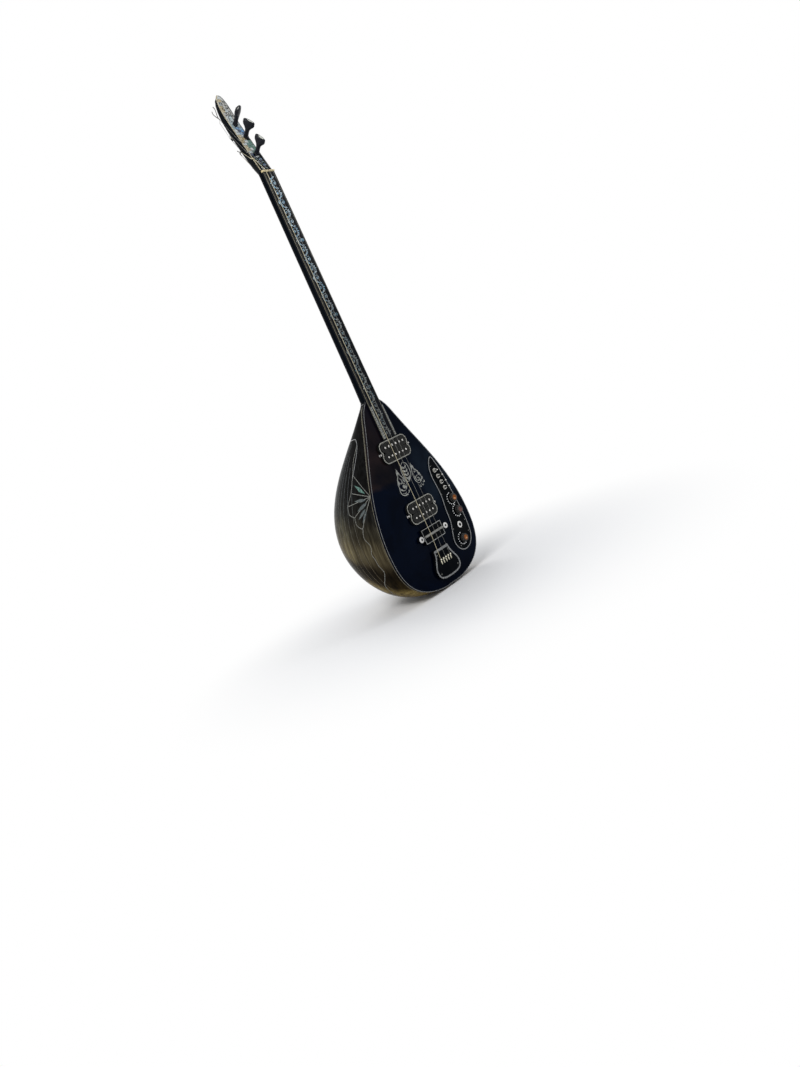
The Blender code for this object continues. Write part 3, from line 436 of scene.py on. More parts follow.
for row in (                     # name, scale of the cut pieces, tones
    ("cap_shell", 220, (620, 640, 580), (760, 770, 700), (500, 520, 460)),
    ("pearl", 330, (150, 155, 155), (340, 350, 340), (230, 235, 225), (460, 470, 450), (270, 280, 300)),
    ("purfling", 500, (160, 165, 170), (300, 305, 310), (220, 225, 235)),
    ("strip_shell", 420, (120, 125, 120), (330, 345, 320), (200, 210, 200), (460, 460, 420)),
    ("arabesque_shell", 420, (180, 185, 175), (380, 390, 360), (260, 265, 250), (500, 500, 450)),
    ("pickup_band", 420, (150, 150, 140), (340, 340, 305), (240, 240, 215), (460, 450, 380)),
    ("tip_shell", 300, (300, 300, 290), (560, 560, 530), (420, 410, 390), (680, 660, 610)),
    ("fan_lines", 500, (170, 170, 145), (300, 295, 260), (220, 220, 190)),
    ("gold_line", 500, (120, 105, 65), (230, 205, 135), (170, 150, 100)),
    ("dim_shell", 420, (20, 40, 38), (55, 80, 78), (30, 48, 60), (110, 130, 120)),
    ("white_shell", 260, (460, 500, 510), (720, 740, 730), (560, 640, 670), (800, 800, 760)),
    ("abalone", 420, (30, 120, 160), (110, 280, 270), (50, 170, 120), (300, 400, 370), (40, 90, 190),
     (180, 340, 270)),
    ("blue_shell", 300, (40, 180, 440), (120, 380, 660), (400, 560, 700), (30, 80, 260)),
    ("navy_shell", 320, (8, 22, 70), (20, 60, 160), (10, 16, 40), (50, 110, 220)),
    ("pale_blue_shell", 260, (420, 540, 580), (620, 700, 720), (300, 460, 540), (700, 740, 720)),
    ("green_shell", 320, (20, 100, 75), (80, 240, 180), (30, 140, 110), (160, 330, 270)),
    ("cream_binding", 420, (520, 430, 250), (700, 610, 400), (420, 320, 180)),
    ("head_rim", 420, (560, 480, 320), (760, 700, 500), (460, 360, 220)),
):
    shell(*row)
VINE_FADE = ((0.32, (0.38, 0.37, 0.35)), (0.52, (0.62, 0.64, 0.64)), (0.66, (1.08, 1.26, 1.42)),
             (0.82, (1.34, 1.66, 1.95)))
shell("vine_shell", 420, (110, 140, 150), (440, 490, 500), (210, 270, 300), (660, 680, 650), fade=VINE_FADE)
shell("vine_tint", 420, (30, 100, 150), (140, 340, 420), (60, 140, 240), (380, 500, 540), fade=VINE_FADE)

for row in (                     # name, two tones, least and most roughness, stretch and scale of the marks
    ("chrome", (340, 340, 340), (620, 620, 610), 0.10, 0.24),
    ("nickel_steel", (520, 510, 490), (700, 690, 660), 0.18, 0.36),
    # Darker nickel for the pole and plate screws: a painted dark reflection of the surroundings.
    ("dark_nickel", (80, 80, 80), (180, 180, 170), 0.26, 0.44),
    ("wound_ends", (500, 470, 340), (780, 750, 600), 0.24, 0.40, 4),
    ("string_ends", (50, 50, 45), (150, 145, 130), 0.35, 0.50, 4),
    ("string_bronze", (400, 360, 240), (620, 570, 420), 0.24, 0.40, 4),
    ("string_steel", (140, 140, 130), (240, 240, 230), 0.26, 0.42, 4),
    ("copper_top", (130, 36, 7), (250, 85, 20), 0.20, 0.36, 1, 500),
    # Pale and dim copper: painted highlights on the knob inserts.
    ("pale_copper", (400, 200, 100), (580, 340, 200), 0.20, 0.34, 1, 500),
    ("dim_copper", (130, 75, 65), (240, 140, 120), 0.24, 0.40, 1, 500),
    ("dark_copper_top", (50, 26, 24), (120, 62, 56), 0.24, 0.40, 1, 500),
    ("magnet", (160, 160, 170), (300, 300, 310), 0.45, 0.7),
):
    metal(*row)
for row in (                     # name, two tones, least and most roughness, specular level, scale
    ("bone", (600, 480, 240), (780, 670, 400), 0.22, 0.38, 0.5, 500),
    ("grey_bone", (130, 130, 120), (240, 240, 220), 0.24, 0.40, 0.5, 500),
    ("coil_plastic", (3, 3.4, 3.6), (8, 8.2, 8), 0.10, 0.22, 0.14),
    ("knob_plastic", (5, 5, 5), (14, 13, 12), 0.16, 0.32, 0.25),
    ("coil_edges", (16, 16, 16), (34, 34, 32), 0.30, 0.45, 0.1),
    ("knob_ribs", (40, 40, 38), (95, 95, 88), 0.30, 0.45, 0.2),
    ("white_marks", (740, 760, 760), (900, 910, 900), 0.3, 0.45),
    ("cable_jacket", (50, 50, 55), (110, 110, 120), 0.4, 0.6),
):
    moulded(*row)


def paint_nodes():
    """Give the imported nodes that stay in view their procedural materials."""
    table = [("soundboard_lacquer", "soundboard"), ("neck_lacquer", "neck"), ("head_lacquer", "peghead"),
             ("fretboard_ebony", "fretboard"), ("bone", "nut"), ("grey_bone", "bridge_saddle"),
             ("bare_wood", "neck_block tail_block bridge_block soundboard_brace"),
             ("peg_wood", "peg_1 peg_2 peg_3"), ("pin_bar", "string_anchor"),
             ("fittings_lacquer", "bridge_base tailpiece control_plate"),
             ("chrome", "bridge_post_left bridge_post_right output_jack"),
             ("cable_jacket", "pickup_lead jack_lead")]
    for where in PICKUP_Z:
        table += [("coil_plastic", f"{where}_screw_coil {where}_slug_coil"),
                  ("dark_nickel", f"{where}_pole_screws"), ("nickel_steel", f"{where}_baseplate"),
                  ("magnet", f"{where}_magnet"),
                  ("chrome", f"{where}_height_screw_left {where}_height_screw_right")]
    for name in KNOBS:
        table += [("nickel_steel", f"{name}_pot {name}_shaft"), ("knob_plastic", f"{name}_knob")]
    for i in range(1, 5):
        table += [("switch_bush", f"toggle_switch_{i}"), ("switch_lever", f"toggle_lever_{i}")]
    for look, nodes in table:
        for node in nodes.split():
            slots = NODES[node].data.materials
            slots.clear()
            slots.append(LOOKS[look].material)


# Mesh helpers


def put(name, data):
    """A new object in the scene."""
    made = bpy.data.objects.new(name, data)
    bpy.context.scene.collection.objects.link(made)
    return made


def carried(name, data, look, body):
    """A new object with its look that rides on a body."""
    data.materials.append(LOOKS[look].material)
    made = put(name, data)
    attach(made, body)
    return made


def circle(count):
    """Angles in even steps once round."""
    return [2 * math.pi * i / count for i in range(count)]


def spaced(start, end, count):
    """Even steps from one value to another, with both ends."""
    return [start + (end - start) * i / count for i in range(count + 1)]


def straight(start, end, count):
    """Even steps along a straight line, with both ends."""
    return list(zip(spaced(start[0], end[0], count), spaced(start[1], end[1], count)))


def oval(centre, wide, high, count):
    """Places round an oval."""
    return [(centre[0] + wide * math.cos(a), centre[1] + high * math.sin(a)) for a in circle(count)]


def smooth_path(points, steps=6, closed=False):
    """A smooth curve through points, with even spans between them."""
    points = [Vector(p) for p in points]
    count = len(points)
    path = []
    for i in range(count if closed else count - 1):
        if closed:
            p0, p1, p2, p3 = (points[(i + k) % count] for k in (-1, 0, 1, 2))
        else:
            p0, p1, p2, p3 = (points[min(max(i + k, 0), count - 1)] for k in (-1, 0, 1, 2))
        for step in range(steps):
            t = step / steps
            path.append(0.5 * ((2 * p1) + (p2 - p0) * t + (2 * p0 - 5 * p1 + 4 * p2 - p3) * t * t
                               + (3 * p1 - p0 - 3 * p2 + p3) * t ** 3))
    if not closed:
        path.append(points[-1])
    return path


class Build:
    """A mesh in progress on a surface, made of lines, patches and turned solids."""

    def __init__(self, place=None):
        self.mesh = bmesh.new()
        self.place = place

    def ring(self, spots):
        """New vertices, in order."""
        return [self.mesh.verts.new(spot) for spot in spots]

    def join(self, rings, closed=False):
        """Skin between rings of vertices, its ends filled unless it closes on itself."""
        for low, high in list(zip(rings, rings[1:])) + ([(rings[-1], rings[0])] if closed else []):
            for i in range(len(low)):
                j = (i + 1) % len(low)
                self.mesh.faces.new((low[i], low[j], high[j], high[i]))
        if not closed:
            self.mesh.faces.new(rings[0])
            self.mesh.faces.new(list(reversed(rings[-1])))

    def line(self, path, width, lift=LINE_LIFT, closed=False, thin=False):
        """An inlaid line of a real width along a path on the surface, thinner at its ends if asked."""
        count = len(path)
        spots = [self.place(p[0], p[1], 0.0) for p in path]
        rings = []
        for i, p in enumerate(path):
            normal = (self.place(p[0], p[1], 0.001) - spots[i]).normalized()
            before = spots[(i - 1) % count] if closed else spots[max(i - 1, 0)]
            after = spots[(i + 1) % count] if closed else spots[min(i + 1, count - 1)]
            across = normal.cross(after - before).normalized()
            half = width / 2
            if thin:
                half *= 0.35 + 0.65 * math.sin(math.pi * i / (count - 1))
            corners = ((-half, -INLAY_SINK), (-half, lift * 0.6), (-half * 0.7, lift), (half * 0.7, lift),
                       (half, lift * 0.6), (half, -INLAY_SINK))
            rings.append(self.ring(spots[i] + across * a + normal * h for a, h in corners))
        self.join(rings, closed)

    def patch(self, outline):
        """A filled inlay with an outline on the surface, slightly crowned."""
        centre = sum((Vector(p) for p in outline), Vector((0.0, 0.0))) / len(outline)
        edge = self.ring(self.place(p[0], p[1], PATCH_LIFT * 0.7) for p in outline)
        base = self.ring(self.place(p[0], p[1], -INLAY_SINK) for p in outline)
        inner = self.ring(self.place(*Vector(p).lerp(centre, 0.35), PATCH_LIFT) for p in outline)
        top, bottom = self.ring(self.place(*centre, lift) for lift in (PATCH_LIFT, -INLAY_SINK))
        for i in range(len(outline)):
            j = (i + 1) % len(outline)
            for face in ((edge[i], edge[j], inner[j], inner[i]), (inner[i], inner[j], top),
                         (base[i], base[j], edge[j], edge[i]), (base[j], base[i], bottom)):
                self.mesh.faces.new(face)

    def leaf(self, base, tip, width, steps=5, skew=0.0):
        """A patch in the form of a pointed leaf between two places."""
        base, tip = Vector(base), Vector(tip)
        along = tip - base
        across = Vector((-along[1], along[0])).normalized()
        sides = [[], []]
        for t in (i / steps for i in range(1, steps)):
            spread = across * (width / 2 * math.sin(math.pi * t ** 0.85))
            bend = across * skew * math.sin(math.pi * t)
            sides[0].append(base + along * t + spread + bend)
            sides[1].append(base + along * t - spread + bend)
        self.patch([base] + sides[0] + [tip] + list(reversed(sides[1])))

    def scroll(self, centre, radius, turns, start, way, width, steps=22, shrink=0.12, lift=LINE_LIFT):
        """A line that winds in to its centre."""
        points = []
        for t in (i / steps for i in range(steps + 1)):
            angle = math.radians(start) + way * 2 * math.pi * turns * t
            reach = radius * (1 - t * (1 - shrink))
            points.append((centre[0] + reach * math.cos(angle), centre[1] + reach * math.sin(angle)))
        self.line(points, width, lift, thin=True)

    def cross(self, x, z, reach, turn, width, lift):
        """Two crossed strokes on the surface."""
        for a in (math.radians(turn), math.radians(turn + 90)):
            ray = (reach * math.cos(a), reach * math.sin(a))
            self.line([(x - ray[0], z - ray[1]), (x + ray[0], z + ray[1])], width, lift)

    def turned(self, profile, x, y, z, sides):
        """A turned solid that faces forward: rings of radius at heights over a place."""
        self.join([self.ring((x + radius * math.cos(a), y - height, z + radius * math.sin(a))
                             for a in circle(sides)) for height, radius in profile])

    def done(self, name, look, body="body", slot="pearl", angle=40.0):
        """The finished piece."""
        mesh = bpy.data.meshes.new(name)
        bmesh.ops.recalc_face_normals(self.mesh, faces=self.mesh.faces)
        self.mesh.to_mesh(mesh)
        self.mesh.free()
        mesh.shade_smooth()
        mesh.set_sharp_from_angle(angle=math.radians(angle))
        return carried(name, mesh, look, body)


# The body's surfaces


def waves(z, harmonics):
    """A sum of waves along the body, never below zero."""
    angle = math.acos(min(max(1 - 2 * z / BODY_LENGTH, -1.0), 1.0))
    return max(sum(a * math.sin((k + 1) * angle) for k, a in enumerate(harmonics)), 0.0)


def neck_share(z):
    """How much of the neck's size the body has taken on at a height."""
    return min(max((z - NECK_FROM) / NECK_RISE, 0.0), 1.0)


def neck_half(z):
    return NECK_HALF - NECK_HALF_LOSS * (z - BODY_END) / (NUT_Z - BODY_END)


def blend(first, second):
    return (first ** BLEND_POWER + second ** BLEND_POWER) ** (1 / BLEND_POWER)


def half_width(z):
    if z > BODY_END:
        return neck_half(z)
    tuck = HEEL_TUCK * max((z - HEEL_FROM) / (BODY_END - HEEL_FROM), 0.0) ** 4
    return blend(waves(z, WIDTH_WAVES) - tuck, neck_half(z) * neck_share(z))


def depth(z):
    neck = NECK_DEEP - NECK_DEEP_LOSS * (z - BODY_END) / (NUT_Z - BODY_END)
    return blend(waves(z, DEPTH_WAVES), neck * neck_share(z))


def bowl_point(angle, station, lift=0.0):
    """A point on the bowl: angle round from the left rim, station along it, height over it."""
    wide = half_width(station)
    deep = max(depth(station) - RIM, 0.0)
    c, s = math.cos(angle), max(math.sin(angle), 0.0)
    power = 2 / SQUARENESS
    x = -wide * math.copysign(abs(c) ** power, c)
    y = deep * s ** power
    point = Vector((x, RIM + y, station - TAIL_BULGE * y * (1 - station / BODY_LENGTH) ** 2))
    if not lift:
        return point
    step = 0.004
    low, high = max(angle - step, 0.0), min(angle + step, math.pi)
    round_it = bowl_point(high, station) - bowl_point(low, station)
    along = (bowl_point(angle, min(station + 0.0004, BODY_END))
             - bowl_point(angle, max(station - 0.0004, 0.0)))
    normal = along.cross(round_it).normalized()
    if normal.dot(Vector((-c * deep, max(s, 0.02) * wide, 0.0))) < 0:
        normal = -normal
    return point + normal * lift


def bowl_side(side):
    """Places on the bowl's side by depth behind the rim and height, both in metres."""
    def place(y, z, lift=0.0):
        back = max(y - RIM, 0.0)
        station = z
        for _ in range(12):
            station = z + TAIL_BULGE * back * (1 - station / BODY_LENGTH) ** 2
        deep = max(depth(station) - RIM, 0.001)
        angle = math.asin(min((back / deep) ** (SQUARENESS / 2), 1.0))
        if side > 0:
            angle = math.pi - angle
        return bowl_point(angle, station, lift)
    return place


def board_place(x, z, lift=0.0):
    return Vector((x, -lift, z))


def level(height):
    """A flat surface at a height over the soundboard."""
    def place(x, z, lift=0.0):
        return Vector((x, -height - lift, z))
    return place


def head_span(along):
    """The two stations of the head round a place along it, and the share between them."""
    for low, high in zip(HEAD_SIZES, HEAD_SIZES[1:]):
        if along <= high[0]:
            return low, high, (along - low[0]) / (high[0] - low[0])
    return HEAD_SIZES[-2], HEAD_SIZES[-1], 1.0


def curl_at(along):
    """How far the head curls forward at a station."""
    return CURL_REACH * (max(along - CURL_FROM, 0.0) / CURL_LENGTH) ** CURL_POWER


def curl(along):
    """How far the head's face curls forward, straight between the stations as in the model."""
    low, high, share = head_span(along)
    start, end = curl_at(low[0]), curl_at(high[0])
    return start + (end - start) * share


def on_head(across, along, deep):
    """A point at a depth behind the head's flat plane."""
    return Vector((across, along * math.sin(HEAD_TILT) + deep * math.cos(HEAD_TILT),
                   HEAD_START + along * math.cos(HEAD_TILT) - deep * math.sin(HEAD_TILT)))


def head_place(across, along, lift=0.0):
    """A point on or over the head's front face."""
    return on_head(across, along, -lift - curl(along))


def flat_head(across, along, deep=0.0):
    """A point behind the head's front face, as the model's own routes are drawn."""
    return on_head(across, along, deep - curl_at(along))


def head_half(along):
    low, high, share = head_span(along)
    return low[1] + (high[1] - low[1]) * share


def make_bowl():
    """The bowl's own smooth shell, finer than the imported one, with its wall and rim."""
    rows, steps = 64, 56
    bowl = Build()
    skins = []
    for wall in (0.0, BOWL_WALL):
        grid = []
        for i in range(1, rows + 1):
            station = BODY_END * 0.5 * (1 - math.cos(math.pi * i / rows))
            ring = [bowl_point(math.pi * j / steps, station) for j in range(steps + 1)]
            if wall:
                middle = Vector((0.0, RIM, station))
                shift = Vector((0, 0, wall * (1 - i / rows)))
                ring = [middle + (p - middle) * max(1 - wall / max((p - middle).length, 0.006), 0.1) + shift
                        for p in ring]
                for p in ring:
                    p.y = max(p.y, RIM)
            grid.append(bowl.ring(ring))
        skins.append((bowl.mesh.verts.new((0.0, RIM, wall)), grid))
    face = bowl.mesh.faces.new
    for pole, grid in skins:
        for j in range(steps):
            face((pole, grid[0][j], grid[0][j + 1]))
            for low, high in zip(grid, grid[1:]):
                face((low[j], low[j + 1], high[j + 1], high[j]))
    (outer_pole, outer), (inner_pole, inner) = skins
    for j in range(steps):
        face((outer[-1][j], outer[-1][j + 1], inner[-1][j + 1], inner[-1][j]))
    for edge in (0, steps):
        face((outer_pole, outer[0][edge], inner[0][edge], inner_pole))
        for i in range(rows - 1):
            face((outer[i][edge], outer[i + 1][edge], inner[i + 1][edge], inner[i][edge]))
    made = bowl.done("bowl_shell", "bowl_lacquer", "body", "bowl_lacquer", 50.0)
    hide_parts("bowl")


def make_stave_lines():
    """Purfling between the narrow staves, from the arched inlay down to the tail."""
    lines = Build(bowl_point)
    for k in range(STAVE_LINES):
        angle = math.radians(15.0 + 150.0 * k / (STAVE_LINES - 1))
        side = min(k, STAVE_LINES - 1 - k)
        top = 0.262 + 0.060 * min(side / 3.0, 1.0)
        lines.line([(angle, z) for z in spaced(0.004, top, 44)], 0.0008, 0.00008)
    lines.done("stave_purfling", "stave_lines")
    arch = [(math.radians(d), z / 1000) for d, z in ((15, 262), (13, 285), (12, 302), (13, 315), (17, 323),
                                                     (24, 326), (60, 327), (90, 327))]
    arch += [(math.pi - a, z) for a, z in reversed(arch[:-1])]
    border = Build(bowl_point)
    border.line(smooth_path(arch, 8), 0.0016, 0.00009)
    border.done("stave_arch", "purfling")


def make_side_inlays():
    """The fan of shell and its border lines on each side of the bowl."""
    for name, side in (("left", -1), ("right", 1)):
        place = bowl_side(side)
        lines = Build(place)
        for path in [straight(FAN_APEX, tip, 12) for tip in FAN_TIPS] + [smooth_path(b) for b in FAN_BORDERS]:
            lines.line(path, 0.0011, 0.00010)
        lines.done(f"fan_lines_{name}", "fan_lines")
        green = Build(place)
        left, right, mid = Vector((0.0170, 0.2268)), Vector((0.0505, 0.2500)), Vector((0.0338, 0.2384))
        across = Vector((-(right - left)[1], (right - left)[0])).normalized() * 0.0042
        corners = (left, mid + across, right, mid - across, left)
        for a, b in zip(corners, corners[1:]):
            inward = (mid - (a + b) / 2) * 0.10
            green.patch([a + inward, (a + b) / 2 + inward, b + inward, mid + inward * -0.6])
        green.done(f"fan_diamond_{name}", "green_shell")
        slivers = Build(place)
        for base, tip, width in FAN_SLIVERS:
            slivers.leaf(base, tip, width, 7)
        slivers.done(f"fan_slivers_{name}", "dim_shell")


def make_edge_binding():
    """Light lines round the soundboard's edge, on its face and on the bowl's rim."""
    face = Build(board_place)
    heights = [BODY_END * 0.5 * (1 - math.cos(math.pi * i / 61)) for i in range(2, 61)]
    right = [(half_width(z) - 0.0011, z) for z in heights]
    face.line([(-x, z) for x, z in reversed(right)] + [(0.0, 0.0013)] + right, 0.0010, 0.00010)
    face.done("board_edge_line", "purfling")
    rim = Build()
    for side in (-1, 1):
        rim.place = bowl_side(side)
        rim.line(straight((0.0050, 0.012), (0.0050, 0.374), 60), 0.0009, 0.00010)
        rim.line(smooth_path(UPPER_RIM, 8), 0.0010, 0.00010)
    rim.done("rim_line", "gold_line")


# Ornament


def make_arabesque():
    """Three scrolling leaves between the pickups."""
    data = Build(board_place)

    def stroke(width, *points):
        data.line(smooth_path(milli(points), 5), milli(width), thin=True)

    def leaves(*rows):
        for x0, z0, x1, z1, width in milli(rows):
            data.leaf((x0, z0), (x1, z1), width, 6)

    stroke(1.8, (8, 250), (-1.8, 244), (-5.6, 230.3), (-3.1, 216), (3.6, 211.5))
    stroke(1.8, (8, 250), (14.5, 245), (16.8, 236), (15.0, 222), (3.6, 211.5))
    for k in range(4):
        z = 242 - 7.2 * k
        leaves((5.6, z - 4.6, -1.6 + 0.3 * k, z + 1.5, 4.2), (6.4, z - 4.6, 12.6 - 0.5 * k, z + 1.0, 4.2))
    leaves((4.6, 212.5, 6.2, 220.5, 5.0))
    stroke(2.1, (-16.2, 245), (-16.6, 234), (-23.6, 224), (-27.5, 212), (-25.0, 203), (-16, 200))
    stroke(1.6, (-16.2, 245), (-13.6, 232), (-8.5, 223), (-4.5, 213), (-8, 205), (-16, 200))
    stroke(1.7, (-19, 226), (-14.5, 221), (-15.5, 215.5), (-20.5, 215), (-21.5, 219.5))
    data.scroll((-0.0150, 0.2085), 0.0062, 1.15, 100, -1, 0.0018)
    stroke(1.9, (-27.5, 212), (-29.4, 202), (-26.5, 194.5), (-18, 190.8), (-10.5, 194))
    stroke(1.4, (-25, 197), (-19, 194.6), (-14, 197))
    leaves((-16.4, 241, -20.6, 230.5, 3.0), (-16.0, 240, -12.6, 229.5, 2.8), (-22.5, 222, -24.6, 212, 2.8),
           (-10.6, 222, -8.0, 213, 2.8), (-24.8, 206, -20.4, 199.4, 3.2), (-8.8, 206.5, -13.0, 200.6, 2.8),
           (-19.5, 193.4, -12.5, 190.2, 2.4), (-5.5, 198.5, -9.5, 192.5, 2.6))
    data.patch(oval((-0.0150, 0.2085), 0.0026, 0.0031, 12))
    stroke(2.1, (25.6, 243), (25.4, 234), (33.0, 224), (38.4, 213), (36.0, 204), (28.5, 200))
    stroke(1.6, (25.6, 243), (21.5, 231), (19.4, 219), (19.6, 208), (24, 202), (28.5, 200))
    data.scroll((0.0285, 0.2090), 0.0068, 1.25, 60, 1, 0.0018)
    data.scroll((0.0268, 0.2245), 0.0034, 1.0, 90, -1, 0.0014, 14)
    leaves((25.5, 239, 29.8, 229.5, 3.0), (25.2, 238, 22.4, 228, 2.6), (33.0, 221, 36.2, 211.5, 2.8),
           (21.4, 218, 22.4, 208, 2.8), (34.6, 206, 30.0, 201.4, 2.8))
    for x, z, radius, start in ((38.5, 207.5, 3.4, 200), (39.6, 200.0, 3.2, 170), (34.4, 195.2, 3.4, 120),
                                (27.6, 193.8, 3.2, 80)):
        data.scroll(milli((x, z)), milli(radius), 0.8, start, 1, 0.0016, 12, 0.3)
    data.done("soundboard_arabesque", "arabesque_shell")


def make_vine():
    """A scrolling vine of shell along the fretboard, its curls and leaves in two tones."""
    chance = random.Random(7)
    pale, tinted = Build(level(FRETBOARD_TOP)), Build(level(FRETBOARD_TOP))

    def stem(z):
        swing = 0.0046 * neck_half(z) / NECK_HALF
        return swing * math.sin(2 * math.pi * (z - VINE_START) / VINE_PERIOD) - 0.0004

    pale.line([(stem(z), z) for z in spaced(VINE_START, VINE_END, 300)], 0.0010)
    k = 0
    crest = VINE_START + VINE_PERIOD / 4
    while crest < VINE_END - 0.008:
        side = -1 if k % 2 else 1
        size = neck_half(crest) / NECK_HALF
        main, other = (tinted, pale) if k % 3 == 1 else (pale, tinted)
        centre = (side * -0.0016 * size - 0.0004, crest + 0.0004)
        turns = 1.05 + 0.20 * chance.random()
        main.scroll(centre, 0.0056 * size, turns, 90 - side * 50, side, 0.0014, 20, 0.20)
        other.patch(oval(centre, 0.0016, 0.0016, 8))
        for spread, reach in ((-58, 0.0048), (-6, 0.0054), (48, 0.0050)):
            a = math.radians(spread + 12 * (chance.random() - 0.5))
            base = Vector((stem(crest) + side * 0.0004, crest + 0.0024 * math.sin(a)))
            out = Vector((side * math.cos(a), math.sin(a))) * reach * size
            main.leaf(base, base + out, 0.0027 * size, skew=side * 0.0003)
        middle = crest + VINE_PERIOD / 4
        for lean in (-1, 1):
            base = Vector((stem(middle) + lean * 0.0005, middle))
            out = Vector((lean * 0.0072 * size, -side * lean * 0.0024 + 0.0012))
            (main if lean > 0 else other).leaf(base, base + out, 0.0028 * size)
        crest += VINE_PERIOD / 2
        k += 1
    radius = 0.0034
    for i in range(7):           # rosettes beside the stem
        z = VINE_START + VINE_PERIOD * (0.75 + 2.0 * i)
        side, data = (1, tinted) if i % 2 else (-1, pale)
        centre = Vector((0.0078 * side * neck_half(z) / NECK_HALF, z))
        for angle in circle(5):
            ray = Vector((math.cos(i * 0.4 + angle), math.sin(i * 0.4 + angle))) * radius
            data.leaf(centre + ray * 0.22, centre + ray, radius * 0.62)
    pale.done("fretboard_vine", "vine_shell")
    tinted.done("fretboard_vine_tinted", "vine_tint")


def make_neck_binding():
    """Thin lines along the fretboard and heel, and scaled shell strips beside its extension."""
    data = Build(level(FRETBOARD_TOP))
    for side, inset, width in ((-1, 0.0009, 0.0009), (-1, 0.0030, 0.0005), (1, 0.0009, 0.0006)):
        data.line([(side * (neck_half(z) - inset), z)
                   for z in spaced(FRETBOARD_END + 0.001, FRETBOARD_END + 0.518, 40)], width)
    data.done("fretboard_binding", "gold_line")
    heel = Build(bowl_point)
    heel.line([(math.radians(turn), BODY_END - 0.0025) for turn in spaced(1, 179, 40)], 0.0011, 0.00010)
    heel.done("heel_line", "purfling")
    strips = Build()
    scales = 14
    for surface, x0, x1, z0, z1, wide in ((level(FRETBOARD_TOP), -0.0126, -0.0118, 0.3680, 0.3040, 0.0054),
                                          (board_place, 0.0204, 0.0214, 0.3640, 0.3030, 0.0058)):
        strips.place = surface
        for t in ((i + 0.5) / scales for i in range(scales)):
            x, z = x0 + (x1 - x0) * t, z0 + (z1 - z0) * t
            broad = wide * (0.72 + 0.28 * t)
            for side in (-1, 1):
                strips.leaf((x + side * 0.0002, z - 0.0030), (x + side * broad / 2, z + 0.0024), broad * 0.46)
        for side in (-1, 1):
            strips.line(straight((x0 + side * wide * 0.37, z0), (x1 + side * wide * 0.5, z1), 12), 0.0007)
    strips.done("extension_strips", "strip_shell")


def near_peg(across, along, room):
    """The seat of the peg that a place on the head's face is closer to than the room given."""
    for seat_along, seat_across, _turn in PEG_SEATS:
        if (along - seat_along) ** 2 + (across - seat_across) ** 2 < room ** 2:
            return Vector((seat_across, seat_along))
    return None


def clear_of_pegs(outline):
    """An outline of many points with those inside a peg's hole pushed out to its edge."""
    points = []
    for i, start in enumerate(outline):
        end = outline[(i + 1) % len(outline)]
        for step in range(4):
            spot = Vector(start).lerp(Vector(end), step / 4)
            seat = near_peg(spot[0], spot[1], PEG_ROOM)
            if seat is not None:
                spot = seat + (spot - seat).normalized() * PEG_ROOM
            points.append(spot)
    return points


def head_tiles(groups, chance):
    """Cut shell tiles over the head's face in bands of colour."""
    gap = 0.0004
    low = 0.0335
    for end, tones in HEAD_BANDS:
        high = milli(end)
        tones = tones.split()
        columns = len(tones)
        marks = [2 * (k + (0 if k in (0, columns) else 0.3 * (chance.random() - 0.5))) / columns - 1
                 for k in range(columns + 1)]
        for k, tone in enumerate(tones):
            outline = []
            for along, left, right in ((low + gap / 2, 0, 1), (high - gap / 2, 1, 0)):
                room = max(head_half(along) - 0.0022, 0.0006)
                slant = 0.0006 * (1 if k % 2 else -1)
                spots = [room * marks[k] + gap / 2 * (k > 0),
                         room * marks[k + 1] - gap / 2 * (k < columns - 1)]
                outline += [(spots[left], along), (sum(spots) / 2, along + slant), (spots[right], along)]
            centre = (sum(p[0] for p in outline) / 6, sum(p[1] for p in outline) / 6)
            if near_peg(*centre, PEG_ROOM) is None:
                groups[tone].patch(clear_of_pegs(outline))
        low = high


def head_rim(side, inset):
    """Places along one edge of the head's face, closer together at its tip."""
    places = [0.002 + 0.1607 * math.sin(math.pi / 2 * i / 48) for i in range(49)]
    return [(side * max(head_half(along) - inset, 0.0003), along) for along in places]


